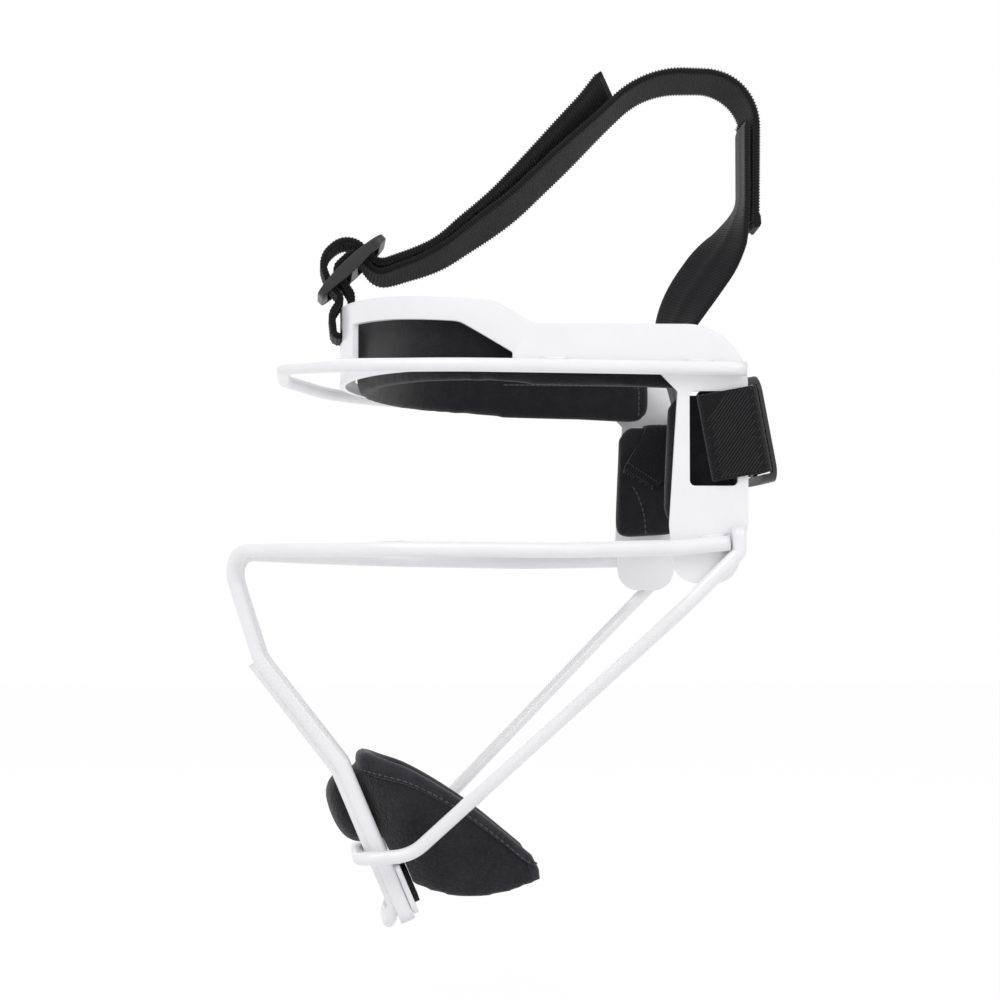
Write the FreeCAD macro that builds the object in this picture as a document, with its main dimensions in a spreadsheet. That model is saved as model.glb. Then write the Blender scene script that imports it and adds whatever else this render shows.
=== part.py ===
import FreeCAD, Part
import math
import os

# Softball fielder's mask. Millimetres. X is across the face and grows towards the wearer's left,
# Y runs from the face (minus) to the back of the head (plus) and Z is up.
# The origin is the middle of the forehead cushion's inner face, where the forehead rests.

Vector = FreeCAD.Vector
Rotation = FreeCAD.Rotation
Placement = FreeCAD.Placement
document = FreeCAD.newDocument("fielders_mask")

# Driving dimensions, in millimetres, with angles in degrees

SIZES = {
    # Forehead band: one bent sheet with a temple plate hanging down at each side
    "sheet_thickness": 2.0,
    "band_front_radius": 110.0,
    "band_corner_radius": 52.0,
    "band_half_width": 84.2,
    "band_length": 138.3,
    "temple_flare": 2.5,
    "band_top_front": 17.8,
    "band_top_side": 12.2,
    "band_top_rear": 4.4,
    "step_setback": 52.1,
    "step_run": 13.2,
    "band_low_front": 10.0,
    "band_low_rear": 12.5,
    "rear_corner_radius": 21.0,
    "edge_corner_radius": 3.0,
    "temple_width": 24.0,
    "temple_drop": 84.2,
    "temple_lean": 2.9,
    "lobe_rise": 6.0,
    "lobe_radius": 8.5,
    "lobe_height": 20.0,
    "lobe_taper_front": 1.7,
    "lobe_taper_rear": 5.0,
    "window_start": 30.0,
    "window_setback": 58.0,
    "window_top_drop": 6.6,
    "window_rail": 4.6,
    "window_slope_run": 18.0,
    "window_slope_drop": 11.0,
    # Holes in the sheet for the webbing
    "slot_width": 16.4,
    "slot_height": 32.4,
    "slot_setback": 3.6,
    "slot_drop": 34.8,
    "slot_radius": 1.9,
    "front_slot_height": 4.6,
    "front_slot_level": 7.3,
    # Bent round bars
    "brow_radius": 2.4,
    "cheek_radius": 2.7,
    "loop_radius": 2.4,
    "jaw_radius": 2.5,
    "weld_gap": 0.05,
    "butt_gap": 0.8,
    "brow_reach": 20.7,
    "brow_nose_half": 24.0,
    "brow_level_front": 6.0,
    "brow_level_rear": 11.2,
    "brow_tail": 0.8,
    "cheek_reach": 41.2,
    "cheek_level": 71.2,
    "cheek_sag": 1.8,
    "cheek_end_rise": 2.4,
    "leg_half_spacing": 22.0,
    "leg_upper_run": 12.6,
    "leg_upper_drop": 39.3,
    "leg_middle_run": 30.0,
    "leg_middle_drop": 38.3,
    "leg_lower_run": 23.4,
    "leg_lower_drop": 55.2,
    "leg_bend_radius": 10.0,
    "loop_forward": 2.5,
    "loop_toe": 4.4,
    "jaw_front_half": 30.5,
    "jaw_front_drop": 32.4,
    "jaw_heel": 18.2,
    "jaw_stub": 8.6,
    "jaw_end_setback": 3.6,
    # Chin plate behind the legs
    "chin_plate_width": 48.0,
    "chin_plate_height": 18.6,
    "chin_plate_drop": 40.4,
    "chin_plate_thickness": 2.0,
    "chin_plate_corner": 4.0,
    # Fillet welds
    "weld_radius": 0.7,
    "weld_length": 9.0,
    # Cushions and the hook and loop tape that holds them
    "cushion_thickness": 7.3,
    "pad_gap": 4.0,
    "pad_low_front": 13.5,
    "pad_low_rear": 17.6,
    "pad_peek": 0.7,
    "pad_rear_gap": 13.0,
    "pad_crown": 1.6,
    "pad_edge": 2.2,
    "hook_thickness": 1.8,
    "tape_length": 34.0,
    "tape_height": 8.0,
    "tape_setback": 34.0,
    "tape_drop": 3.5,
    "temple_pad_height": 44.3,
    "temple_pad_width": 26.2,
    "temple_pad_top": 20.4,
    "temple_pad_rear": 2.6,
    "temple_pad_lean": 2.4,
    "temple_pad_slope": 2.0,
    "temple_pad_round": 3.2,
    "temple_pad_corner": 4.0,
    "soft_clearance": 0.3,
    # Chin cup
    "cup_half_width": 27.2,
    "cup_depth": 41.8,
    "cup_height": 62.0,
    "cup_thickness": 9.0,
    "cup_setback": 7.7,
    "cup_nose_half": 14.4,
    "cup_nose_reach": 11.1,
    "cup_nose_height": 27.0,
    "cup_nose_round": 5.6,
    "cup_nose_top": 2.2,
    # Top strap, its slider and the riser
    "top_strap_width": 24.0,
    "top_strap_thickness": 2.3,
    "slider_length": 32.2,
    "slider_rail": 3.0,
    "slider_thickness": 4.0,
    "slider_bar": 3.2,
    "slider_side_gap": 0.8,
    "slider_corner": 4.5,
    "top_slider_lift": 33.0,
    "top_slider_setback": 4.1,
    "top_slider_tilt": 43.3,
    "slider_loop_half": 7.7,
    "slider_loop_rise": 9.7,
    "slider_loop_front": 6.2,
    "crest_height": 105.3,
    "crest_setback": 113.3,
    "crest_rear": 153.1,
    "strap_hem_level": 48.8,
    "strap_foot_run": 31.7,
    "strap_foot_rise": 3.8,
    "strap_sag": 4.1,
    "strap_layer_gap": 0.9,
    "strap_tail_lift": 7.7,
    "strap_swell": 1.7,
    "riser_width": 24.0,
    "riser_thickness": 2.2,
    "riser_overlap": 40.0,
    "riser_roll": 43.0,
    # Rear strap and its sliders
    "rear_strap_width": 30.0,
    "rear_strap_thickness": 1.6,
    "rear_strap_bend": 6.0,
    "rear_strap_middle": 13.5,
    "rear_strap_fold": 14.0,
    "rear_tilt": 10.5,
    "rear_slider_length": 26.0,
    "rear_slider_height": 37.0,
    "rear_slider_thickness": 5.0,
    "rear_slider_bar": 3.2,
    "rear_slider_corner": 6.0,
    "rear_slider_setback": 15.7,
    "rear_slider_gap": 0.2,
    "strap_side_gap": 0.5,
    "tail_width": 26.0,
    "tail_length": 43.5,
    # One overrun for every cut
    "overrun": 12.0,
}

sheet = document.addObject("Spreadsheet::Sheet", "sizes")
for row, (alias, value) in enumerate(SIZES.items(), start=1):
    sheet.set("A%d" % row, alias)
    sheet.set("B%d" % row, str(value))
    sheet.setAlias("B%d" % row, alias)
document.recompute()


class Read:
    """The sheet's cells as plain numbers, by alias."""

    def __getattr__(self, alias):
        return float(sheet.get(alias))


size = Read()


# Places that several pieces share

FLARE = math.radians(size.temple_flare)
FRONT_Y = -(size.cushion_thickness + size.pad_gap + size.sheet_thickness)
REAR_Y = FRONT_Y + size.band_length
TEMPLE_Y = REAR_Y - size.temple_width
STEP_Y = FRONT_Y + size.step_setback
SIDE_WAY = Vector(math.sin(FLARE), math.cos(FLARE), 0)
INWARD = Vector(-math.cos(FLARE), math.sin(FLARE), 0)
REAR_CORNER = Vector(size.band_half_width, REAR_Y, 0)
FRONT_CENTRE = Vector(0, FRONT_Y + size.band_front_radius, 0)


def corner_centre():
    """Centre of the band's corner arc, tangent to the front arc and to the flat side."""
    base = REAR_CORNER + INWARD * size.band_corner_radius
    gap = base - FRONT_CENTRE
    along = gap.dot(SIDE_WAY)
    reach = size.band_front_radius - size.band_corner_radius
    back = along + math.sqrt(reach ** 2 - gap.dot(gap) + along ** 2)
    return base - SIDE_WAY * back


CORNER_CENTRE = corner_centre()
FRONT_JOIN = (CORNER_CENTRE - FRONT_CENTRE).normalize()
CORNER_ANGLES = (math.atan2(FRONT_JOIN.y, FRONT_JOIN.x), math.atan2(-INWARD.y, -INWARD.x))


def side_point(inset, y):
    """A point on the flat side's plan line, moved inward by inset, at depth y."""
    start = REAR_CORNER + INWARD * inset
    return start + SIDE_WAY * ((y - start.y) / SIDE_WAY.y)


def mirrored(point):
    return Vector(-point.x, point.y, point.z)


def shares(count):
    """Even shares from nothing to the whole, in so many steps."""
    return [step / count for step in range(count + 1)]


# Outlines made of straight runs and tangent arcs

def trace(points, radii, closed=False):
    """Straight runs and tangent arcs along points: (start, middle or None, end, arc centre or None)."""
    count = len(points)
    starts = list(points)
    ends = list(points)
    arcs = [None] * count
    for index in range(count):
        radius = radii[index]
        if radius == 0 or (not closed and index in (0, count - 1)):
            continue
        corner = points[index]
        back = (points[index - 1] - corner).normalize()
        on = (points[(index + 1) % count] - corner).normalize()
        half = back.getAngle(on) / 2
        reach = radius / math.tan(half)
        centre = corner + (back + on).normalize() * (radius / math.sin(half))
        middle = centre + (corner - centre).normalize() * radius
        ends[index] = corner + back * reach
        starts[index] = corner + on * reach
        arcs[index] = (ends[index], middle, starts[index], centre)
    pieces = []
    for index in range(count if closed else count - 1):
        after = (index + 1) % count
        pieces.append((starts[index], None, ends[after], None))
        if arcs[after]:
            pieces.append(arcs[after])
    return pieces


def geometry(pieces):
    """The traced pieces as lines and arcs."""
    result = []
    for start, middle, end, _ in pieces:
        result.append(Part.Arc(start, middle, end) if middle else Part.LineSegment(start, end))
    return result


def shifted(piece, distance):
    """One piece moved to its left by distance, in the XY plane of the outline."""
    start, middle, end, centre = piece
    if middle is None:
        way = (end - start).normalize()
        aside = Vector(-way.y, way.x, 0) * distance
        return (start + aside, None, end + aside, None)
    turn = (middle - start).cross(end - middle).z
    grow = -distance if turn > 0 else distance
    moved = [point + (point - centre).normalize() * grow for point in (start, middle, end)]
    return (moved[0], moved[1], moved[2], centre)


def ribbon(points, radii, thickness):
    """Closed outline of a strap of even thickness along a middle line."""
    pieces = trace(points, radii)
    left = [shifted(piece, thickness / 2) for piece in pieces]
    right = [shifted(piece, -thickness / 2) for piece in pieces]
    outline = list(left)
    outline.append((left[-1][2], None, right[-1][2], None))
    outline += [(end, middle, start, centre) for start, middle, end, centre in reversed(right)]
    outline.append((right[0][0], None, left[0][0], None))
    return outline


def box_outline(left, right, low, high, radius):
    corners = [Vector(left, low, 0), Vector(right, low, 0), Vector(right, high, 0), Vector(left, high, 0)]
    return trace(corners, [radius] * len(corners), closed=True)


# Features

def new_body(label):
    body = document.addObject("PartDesign::Body", label)
    body.Label = label
    return body


def new_sketch(body, role, outlines, offset=0.0):
    sketch = body.newObject("Sketcher::SketchObject", body.Name + "_sketch")
    plane = [item for item in body.Origin.OriginFeatures if item.Role == role][0]
    sketch.AttachmentSupport = [(plane, "")]
    sketch.MapMode = "FlatFace"
    sketch.AttachmentOffset = Placement(Vector(0, 0, offset), Rotation())
    for outline in outlines:
        for item in geometry(outline):
            sketch.addGeometry(item, False)
    return sketch


def pad(body, role, outlines, length, offset=0.0, both=True, back=False):
    """Adds a sketch's area; length is an expression on the sheet."""
    feature = body.newObject("PartDesign::Pad", body.Name + "_pad")
    feature.Profile = new_sketch(body, role, outlines, offset)
    feature.Midplane = both
    feature.Reversed = back
    feature.setExpression("Length", length)
    document.recompute()
    return feature


def pocket(body, role, outlines, length=None, offset=0.0, back=False):
    """Cuts a sketch's area, through everything or to an expression's length."""
    before = body.Shape.Volume
    feature = body.newObject("PartDesign::Pocket", body.Name + "_pocket")
    feature.Profile = new_sketch(body, role, outlines, offset)
    if length is None:
        feature.Type = "ThroughAll"
        feature.Midplane = True
    else:
        feature.Reversed = back
        feature.setExpression("Length", length)
    document.recompute()
    if not body.Shape.Volume < before:
        raise ValueError(body.Label + ": a pocket cuts nothing")
    return feature


def mirror(source, label):
    feature = document.addObject("Part::Mirroring", label)
    feature.Source = source
    feature.Normal = Vector(1, 0, 0)
    feature.Label = label
    return feature


def bar(label, points, radii, radius_alias):
    """A round bar bent along points, as a circle swept along runs and arcs."""
    route = document.addObject("Part::Feature", label + "_route")
    route.Shape = Part.Wire([item.toShape() for item in geometry(trace(points, radii))])
    circle = document.addObject("Part::Circle", label + "_section")
    circle.setExpression("Radius", "sizes." + radius_alias)
    circle.Placement = Placement(points[0], Rotation(Vector(0, 0, 1), points[1] - points[0]))
    sweep = document.addObject("Part::Sweep", label)
    sweep.Sections = [circle]
    sweep.Spine = (route, ["Edge%d" % (index + 1) for index in range(len(route.Shape.Edges))])
    sweep.Solid = True
    sweep.Label = label
    return sweep


def solid_feature(label, shape):
    feature = document.addObject("Part::Feature", label)
    feature.Shape = shape
    feature.Label = label
    return feature


# Forehead band

def plan_pieces(inset, end_y):
    """Plan line of the band from its right end round the front to its left end."""
    middle_angle = sum(CORNER_ANGLES) / 2
    radius = size.band_corner_radius - inset
    end = side_point(inset, end_y)
    side = side_point(inset, CORNER_CENTRE.y + radius * -INWARD.y)
    bend = CORNER_CENTRE + Vector(math.cos(middle_angle), math.sin(middle_angle), 0) * radius
    join = FRONT_CENTRE + FRONT_JOIN * (size.band_front_radius - inset)
    front = Vector(0, FRONT_Y + inset, 0)
    half = [(front, None, join, None), (join, bend, side, None), (side, None, end, None)]
    other = [tuple(mirrored(item) if item else None for item in (last, middle, first)) + (None,)
             for first, middle, last, _ in reversed(half)]
    whole = other[:-1] + [(mirrored(join), front, join, None)] + half[1:]
    return whole


def band_outline():
    outer = plan_pieces(0, REAR_Y)
    inner = plan_pieces(size.sheet_thickness, REAR_Y)
    back = [(end, middle, start, None) for start, middle, end, _ in reversed(inner)]
    return outer + [(outer[-1][2], None, back[0][0], None)] + back + [(back[-1][2], None, outer[0][0], None)]


def band_top(y):
    """Height of the band's top edge at depth y."""
    ahead = FRONT_Y - size.edge_corner_radius
    if y <= STEP_Y:
        share = (y - ahead) / (STEP_Y - ahead)
        return size.band_top_front + share * (size.band_top_side - size.band_top_front)
    share = min(1, (y - STEP_Y) / size.step_run)
    return size.band_top_side + share * (size.band_top_rear - size.band_top_side)


def side_profile():
    """Side view of the band, in depth and height, with the temple plate and its lower lobe."""
    ahead = FRONT_Y - size.overrun
    low = -size.temple_drop
    taper = low + size.lobe_height
    points = [
        Vector(ahead, size.band_top_front, 0),
        Vector(FRONT_Y, size.band_top_front, 0),
        Vector(STEP_Y, size.band_top_side, 0),
        Vector(STEP_Y + size.step_run, size.band_top_rear, 0),
        Vector(REAR_Y, size.band_top_rear, 0),
        Vector(REAR_Y, taper, 0),
        Vector(REAR_Y - size.lobe_taper_rear, low, 0),
        Vector(TEMPLE_Y - size.temple_lean + size.lobe_taper_front, low, 0),
        Vector(TEMPLE_Y - size.temple_lean, taper, 0),
        Vector(TEMPLE_Y, -size.band_low_rear - size.lobe_rise, 0),
        Vector(TEMPLE_Y - size.lobe_rise, -size.band_low_rear, 0),
        Vector(ahead, -size.band_low_front, 0),
    ]
    small = size.edge_corner_radius
    radii = [0, 0, 3 * small, 3 * small, size.rear_corner_radius, 3 * small, size.lobe_radius,
             size.lobe_radius, 3 * small, small / 2, small / 2, 0]
    return trace(points, radii, closed=True)


def window_outline():
    """Window in the band, in depth and height, that shows the cushion."""
    ahead = FRONT_Y - size.overrun
    end = FRONT_Y + size.window_setback
    low_front = -size.band_low_front + size.window_rail
    low_rear = -size.band_low_rear + size.window_rail
    top = size.band_top_side - size.window_top_drop
    points = [
        Vector(ahead, size.band_top_front - size.window_top_drop, 0),
        Vector(end - size.window_slope_run, top, 0),
        Vector(end, top - size.window_slope_drop, 0),
        Vector(end, low_rear, 0),
        Vector(ahead, low_front, 0),
    ]
    small = size.edge_corner_radius
    return trace(points, [0, 3 * small, small / 3, 0, 0], closed=True)


def forehead_band():
    body = new_body("forehead_band")
    half = size.temple_drop + size.overrun
    pad(body, "XY_Plane", [band_outline()], "2 * (sizes.temple_drop + sizes.overrun)")
    frame = box_outline(FRONT_Y - 2 * size.overrun, REAR_Y + size.overrun, -half, half, 0)
    pocket(body, "YZ_Plane", [frame, side_profile()])
    start = size.window_start
    depth = "sizes.band_half_width"
    pocket(body, "YZ_Plane", [window_outline()], depth, offset=start, back=True)
    pocket(body, "YZ_Plane", [window_outline()], depth, offset=-start)
    rear = REAR_Y - size.slot_setback
    level = -size.slot_drop
    slot = box_outline(rear - size.slot_width, rear, level - size.slot_height / 2,
                       level + size.slot_height / 2, size.slot_radius)
    pocket(body, "YZ_Plane", [slot])
    half_slot = size.top_strap_width / 2 + size.slider_side_gap
    front_slot = box_outline(-half_slot, half_slot, size.front_slot_level - size.front_slot_height / 2,
                             size.front_slot_level + size.front_slot_height / 2, size.slot_radius)
    pocket(body, "XZ_Plane", [front_slot])
    return body


# Bars

brow_turn_share = 0.38
brow_flat_share = 0.73
brow_fall_shares = (0.45, 0.75)
cheek_turn_shares = (0.3, 0.83)
cheek_wide_shares = (0.86, 0.55)
cheek_sag_shares = (0.4, 0.7)
cheek_nose_share = 0.4
toe_rise_share = 1.5
toe_bend_share = 0.42
toe_knee_share = 0.35
jaw_heel_share = 1.08
jaw_lift_share = 0.6
jaw_turn_shares = (0.8, 1.6, 4.0)
jaw_stub_turn_share = 1.4


def on_side(radius, y, z):
    """Axis point of a bar that lies against the outside of the band's flat side."""
    point = side_point(-(radius + size.weld_gap), y)
    return Vector(point.x, point.y, z)


def both_sides(points):
    return [mirrored(point) for point in reversed(points)] + points


def brow_points():
    """Corners of the brow bar from its nose to its left end."""
    corner = CORNER_CENTRE.y
    nose = FRONT_Y - size.brow_reach
    fall = size.brow_level_rear - size.brow_level_front
    levels = [-size.brow_level_front - fall * share for share in brow_fall_shares]
    side = on_side(size.brow_radius, corner - size.band_corner_radius * brow_turn_share, 0)
    return [
        Vector(size.brow_nose_half, nose, -size.brow_level_front),
        Vector(side.x * brow_flat_share, FRONT_Y - size.brow_radius, levels[0]),
        Vector(side.x, side.y, levels[1]),
        on_side(size.brow_radius, REAR_Y - size.brow_tail, -size.brow_level_rear),
    ]


def brow_bar():
    turn = size.band_corner_radius
    radii = [0, turn, turn, size.leg_bend_radius]
    return bar("brow_bar", both_sides(brow_points()), radii + radii[::-1], "brow_radius")


def leg_points(forward):
    """Corners of a leg's side view, moved forward by a distance square to each run."""
    top = Vector(0, FRONT_Y - size.cheek_reach, -size.cheek_level)
    runs = [
        Vector(0, size.leg_upper_run, -size.leg_upper_drop),
        Vector(0, size.leg_middle_run, -size.leg_middle_drop),
        Vector(0, size.leg_lower_run, -size.leg_lower_drop),
    ]
    points = [top]
    for run in runs:
        points.append(points[-1] + run)
    normals = [Vector(0, run.z, -run.y).normalize() for run in runs]
    moved = [points[0] + normals[0] * forward]
    for index in range(1, len(runs)):
        between = (normals[index - 1] + normals[index]).normalize()
        moved.append(points[index] + between * (forward / between.dot(normals[index])))
    moved.append(points[-1] + normals[-1] * forward)
    return moved


def jaw_stub_y():
    return REAR_Y - size.jaw_end_setback


def cheek_points():
    """Corners of the left cheek bar from its rear end to the top of its leg."""
    radius = size.cheek_radius
    end_y = jaw_stub_y() - size.jaw_radius - size.butt_gap
    low = -size.cheek_level - size.cheek_sag
    corner = CORNER_CENTRE.y
    turn = size.band_corner_radius
    middle = on_side(radius, corner + turn * cheek_turn_shares[0], low)
    wide = [middle.x * share for share in cheek_wide_shares]
    sag = [low + size.cheek_sag * share for share in cheek_sag_shares]
    return [
        on_side(radius, end_y, low + size.cheek_end_rise),
        on_side(radius, TEMPLE_Y, low + size.cheek_end_rise / 3),
        middle,
        Vector(wide[0], corner - turn * cheek_turn_shares[1], sag[0]),
        Vector(wide[1], FRONT_Y - size.cheek_reach * cheek_nose_share, sag[1]),
    ]


def cheek_bar_left():
    leg = [Vector(size.leg_half_spacing, point.y, point.z) for point in leg_points(0)]
    points = cheek_points() + leg
    turn = size.band_corner_radius
    bend = size.leg_bend_radius
    return bar("cheek_bar_left", points, [0, turn, turn, turn, turn, bend, bend, bend, 0], "cheek_radius")


def loop_half_spacing():
    """Half spacing of the inner wire, which lies against the leg and a little forward of it."""
    reach = size.cheek_radius + size.loop_radius + size.weld_gap
    return size.leg_half_spacing - math.sqrt(reach ** 2 - size.loop_forward ** 2)


def front_loop():
    half = loop_half_spacing()
    route = leg_points(size.loop_forward)
    down = (route[-1] - route[-2]).normalize()
    knee = route[-1] - down * (size.loop_toe * toe_rise_share)
    toe = route[-1] - Vector(0, size.loop_toe, 0)
    side = [toe, knee, route[-2], route[-3]]
    points = both_sides([Vector(half, point.y, point.z) for point in side])
    bend = size.leg_bend_radius
    radii = [bend * toe_bend_share, bend * toe_knee_share, bend - size.loop_forward, 0]
    return bar("front_loop", points, radii[::-1] + radii, "loop_radius")


def leg_frame():
    """Knee point of the leg, its way up and its way back, in the plane of the side view."""
    points = leg_points(0)
    up = (points[-2] - points[-1]).normalize()
    back = Vector(0, up.z, -up.y)
    return points[-2], up, back


def jaw_bar():
    knee, up, back = leg_frame()
    ahead = size.loop_forward + size.loop_radius + size.weld_gap + size.jaw_radius
    front = knee - up * size.jaw_front_drop - back * ahead
    half = size.jaw_front_half
    stub_y = jaw_stub_y()
    heel = Vector(half * jaw_heel_share, front.y + size.jaw_heel, front.z + size.jaw_radius * jaw_lift_share)
    corner = on_side(size.jaw_radius, stub_y, -size.cheek_level - size.jaw_radius)
    turn_y = stub_y - size.lobe_rise * 3
    turn = on_side(size.jaw_radius, turn_y, corner.z - size.lobe_rise * 3)
    top = Vector(corner.x, corner.y, corner.z + size.jaw_stub)
    side = [Vector(half, front.y, front.z), heel, turn, corner, top]
    bend = size.leg_bend_radius
    radii = [bend * share for share in jaw_turn_shares] + [size.jaw_radius * jaw_stub_turn_share, 0]
    return bar("jaw_bar", both_sides(side), radii[::-1] + radii, "jaw_radius")


def chin_plate():
    knee, up, back = leg_frame()
    body = new_body("chin_plate")
    half = size.chin_plate_width / 2
    outline = box_outline(-half, half, -size.chin_plate_height, 0, size.chin_plate_corner)
    pad(body, "XY_Plane", [outline], "sizes.chin_plate_thickness", both=False)
    rear_face = size.cheek_radius + size.weld_gap + size.chin_plate_thickness
    place = knee - up * size.chin_plate_drop + back * rear_face
    body.Placement = Placement(place, Rotation(Vector(1, 0, 0), up, Vector(), "XYZ"))
    return body


def weld_beads():
    """Fillet welds: short rods that nest in the notch between a bar and the sheet."""
    weld = size.weld_radius
    brow_end, brow_start = brow_points()[:-3:-1]
    cheek_end, cheek_start = cheek_points()[:2]
    jaw_reach = REAR_Y - size.rear_corner_radius
    specs = [
        (size.brow_radius, brow_end, brow_start, jaw_reach),
        (size.brow_radius, brow_end, brow_start, CORNER_CENTRE.y + size.tape_height),
        (size.cheek_radius, cheek_end, cheek_start, REAR_Y - size.temple_width / 2 - size.weld_length / 2),
    ]
    rods = []
    for radius, end, start, y in specs:
        share = (y - start.y) / (end.y - start.y)
        level = start.z + share * (end.z - start.z) + 2 * math.sqrt(radius * weld) + size.weld_gap
        foot = side_point(-(weld + size.weld_gap), y)
        for sign in (1, -1):
            rod = document.addObject("Part::Cylinder", "weld_rod")
            rod.setExpression("Radius", "sizes.weld_radius")
            rod.setExpression("Height", "sizes.weld_length")
            way = Vector(sign * (end.x - start.x), end.y - start.y, end.z - start.z)
            rod.Placement = Placement(Vector(sign * foot.x, y, level), Rotation(Vector(0, 0, 1), way))
            rods.append(rod)
    group = document.addObject("Part::Compound", "weld_beads")
    group.Links = rods
    group.Label = "weld_beads"
    return group


# Cushions

roll_steps = 4
crown_steps = 4
corner_steps = 3
# Rows of depth and of the outline's drawing in, from the back to the face
cushion_layer_shares = [(0.0, 0.4), (0.14, 0.0), (0.55, 0.0), (0.8, 0.25), (0.94, 0.6), (1.0, 1.0)]


def cushion_section(back, inward, up, thickness, low, high, crown, edge):
    """Closed cushion section: flat back, crowned face and rolled top and bottom, in short steps."""
    face = thickness - crown
    half = (high - low) / 2
    middle = (low + high) / 2
    turns = [math.pi * share for share in shares(roll_steps)]
    roll = [(face / 2 * (1 - math.cos(turn)), half - edge + edge * math.sin(turn)) for turn in turns]
    bulge = [1 - 2 * share for share in shares(crown_steps)[1:-1]]
    belly = [(face + crown * (1 - level * level), level * (half - edge)) for level in bulge]
    outline = roll + belly + [(depth, -level) for depth, level in reversed(roll)]
    corners = [back + inward * depth + up * (middle + level) for depth, level in outline]
    return Part.makePolygon(corners + corners[:1])


def pad_end_y():
    return REAR_Y - size.pad_rear_gap


def pad_stations():
    """Back points of the forehead cushion and the way inward there, from the middle to the left end."""
    inset = size.sheet_thickness + size.pad_gap
    stations = []
    front_radius = size.band_front_radius - inset
    first = math.atan2(FRONT_JOIN.y, FRONT_JOIN.x)
    for share in shares(6):
        angle = -math.pi / 2 + share * (first + math.pi / 2)
        way = Vector(math.cos(angle), math.sin(angle), 0)
        stations.append((FRONT_CENTRE + way * front_radius, -way))
    corner_radius = size.band_corner_radius - inset
    for share in shares(8)[1:]:
        angle = first + share * (CORNER_ANGLES[1] - first)
        way = Vector(math.cos(angle), math.sin(angle), 0)
        stations.append((CORNER_CENTRE + way * corner_radius, -way))
    start = stations[-1][0].y
    for share in shares(6)[1:]:
        stations.append((side_point(inset, start + share * (pad_end_y() - start)), INWARD))
    return stations


def forehead_pad():
    sections = []
    half = pad_stations()
    other = [(mirrored(point), mirrored(way)) for point, way in reversed(half[1:])]
    for point, way in other + half:
        share = (point.y - FRONT_Y) / (pad_end_y() - FRONT_Y)
        low = -size.pad_low_front - share * (size.pad_low_rear - size.pad_low_front)
        high = band_top(point.y) + size.pad_peek
        sections.append(cushion_section(point, way, Vector(0, 0, 1), size.cushion_thickness, low, high,
                                        size.pad_crown, size.pad_edge))
    return solid_feature("forehead_pad", Part.makeLoft(sections, True, True))


def side_placement(inset):
    """Frame of the left flat side: x rearward, y inward, z up, from the rear edge at an inset."""
    origin = REAR_CORNER + INWARD * inset
    return Placement(origin, Rotation(SIDE_WAY, INWARD, Vector(0, 0, 1), "XYZ"))


def side_patch(label, inset, outline, length):
    """A flat piece on the left side, drawn in the side view and thickened inward."""
    body = new_body(label)
    pad(body, "XZ_Plane", [outline], length, both=False, back=True)
    body.Placement = side_placement(inset)
    return body


def tape_outline(rear, low):
    high = low + size.tape_height
    return box_outline(-rear - size.tape_length, -rear, low, high, size.edge_corner_radius / 2)


def forehead_tapes():
    """Hook tape on the sheet and loop tape on the cushion, one strip of each per side."""
    outline = tape_outline(size.tape_setback, -size.tape_drop - size.tape_height / 2)
    hooks = side_patch("forehead_hooks_left", size.sheet_thickness, outline, "sizes.hook_thickness")
    inset = size.sheet_thickness + size.hook_thickness + size.soft_clearance
    loops = side_patch("forehead_loops_left", inset, outline,
                       "sizes.pad_gap - sizes.hook_thickness - sizes.soft_clearance")
    return [hooks, loops]


def temple_pad_corners():
    """Corners of the temple cushion in the side view, from its low front corner round."""
    rear = -size.temple_pad_rear
    front = rear - size.temple_pad_width
    top = -size.temple_pad_top
    low = top - size.temple_pad_height
    return [Vector(front, low, 0), Vector(rear, low + size.temple_pad_slope, 0), Vector(rear, top, 0),
            Vector(front + size.temple_pad_lean, top, 0)]


def cushion_layer(corners, draw, depth):
    """The cushion's outline at a depth, drawn in all round, with each round corner in short steps."""
    radius = size.temple_pad_corner
    points = []
    for start, middle, end, centre in trace(corners, [radius] * len(corners), closed=True):
        if middle is None:
            continue
        for share in shares(corner_steps):
            way = (start + (end - start) * share - centre).normalize()
            place = centre + way * (radius - draw)
            points.append(Vector(place.x, depth, place.y))
    return Part.makePolygon(points + points[:1])


def temple_pad_left():
    corners = temple_pad_corners()
    layers = [cushion_layer(corners, draw * size.temple_pad_round, depth * size.cushion_thickness)
              for depth, draw in cushion_layer_shares]
    block = Part.makeLoft(layers, True, True)
    block.Placement = side_placement(size.sheet_thickness + size.pad_gap)
    return solid_feature("temple_pad_left", block)


def temple_tape_left():
    """Thick hook and loop tab that holds the temple cushion below the strap slot."""
    low = -size.temple_pad_top - size.temple_pad_height + size.edge_corner_radius
    outline = box_outline(-size.temple_width + size.edge_corner_radius, -size.temple_pad_rear * 2, low,
                          low + size.tape_height, size.edge_corner_radius / 2)
    return side_patch("temple_hooks_left", size.sheet_thickness, outline, "sizes.pad_gap")


# Chin cup

cup_edge_share = 0.55
cup_steps = 3
chin_hook_share = 0.3
# Each row: across, back, turn in degrees, top, bottom and thickness, as shares of the cup's sizes
cup_station_shares = [
    (0.0, 0.0, 0, 0.02, -0.80, 1.0),
    (0.30, 0.0, 0, 0.02, -0.80, 1.0),
    (0.55, 0.03, 18, 0.005, -0.82, 1.0),
    (0.74, 0.14, 45, -0.06, -0.89, 1.0),
    (0.85, 0.32, 68, -0.17, -0.97, 1.0),
    (0.91, 0.53, 78, -0.35, -1.02, 0.92),
    (0.96, 0.75, 80, -0.58, -1.045, 0.78),
    (1.0, 1.0, 82, -0.90, -1.05, 0.5),
]


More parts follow.
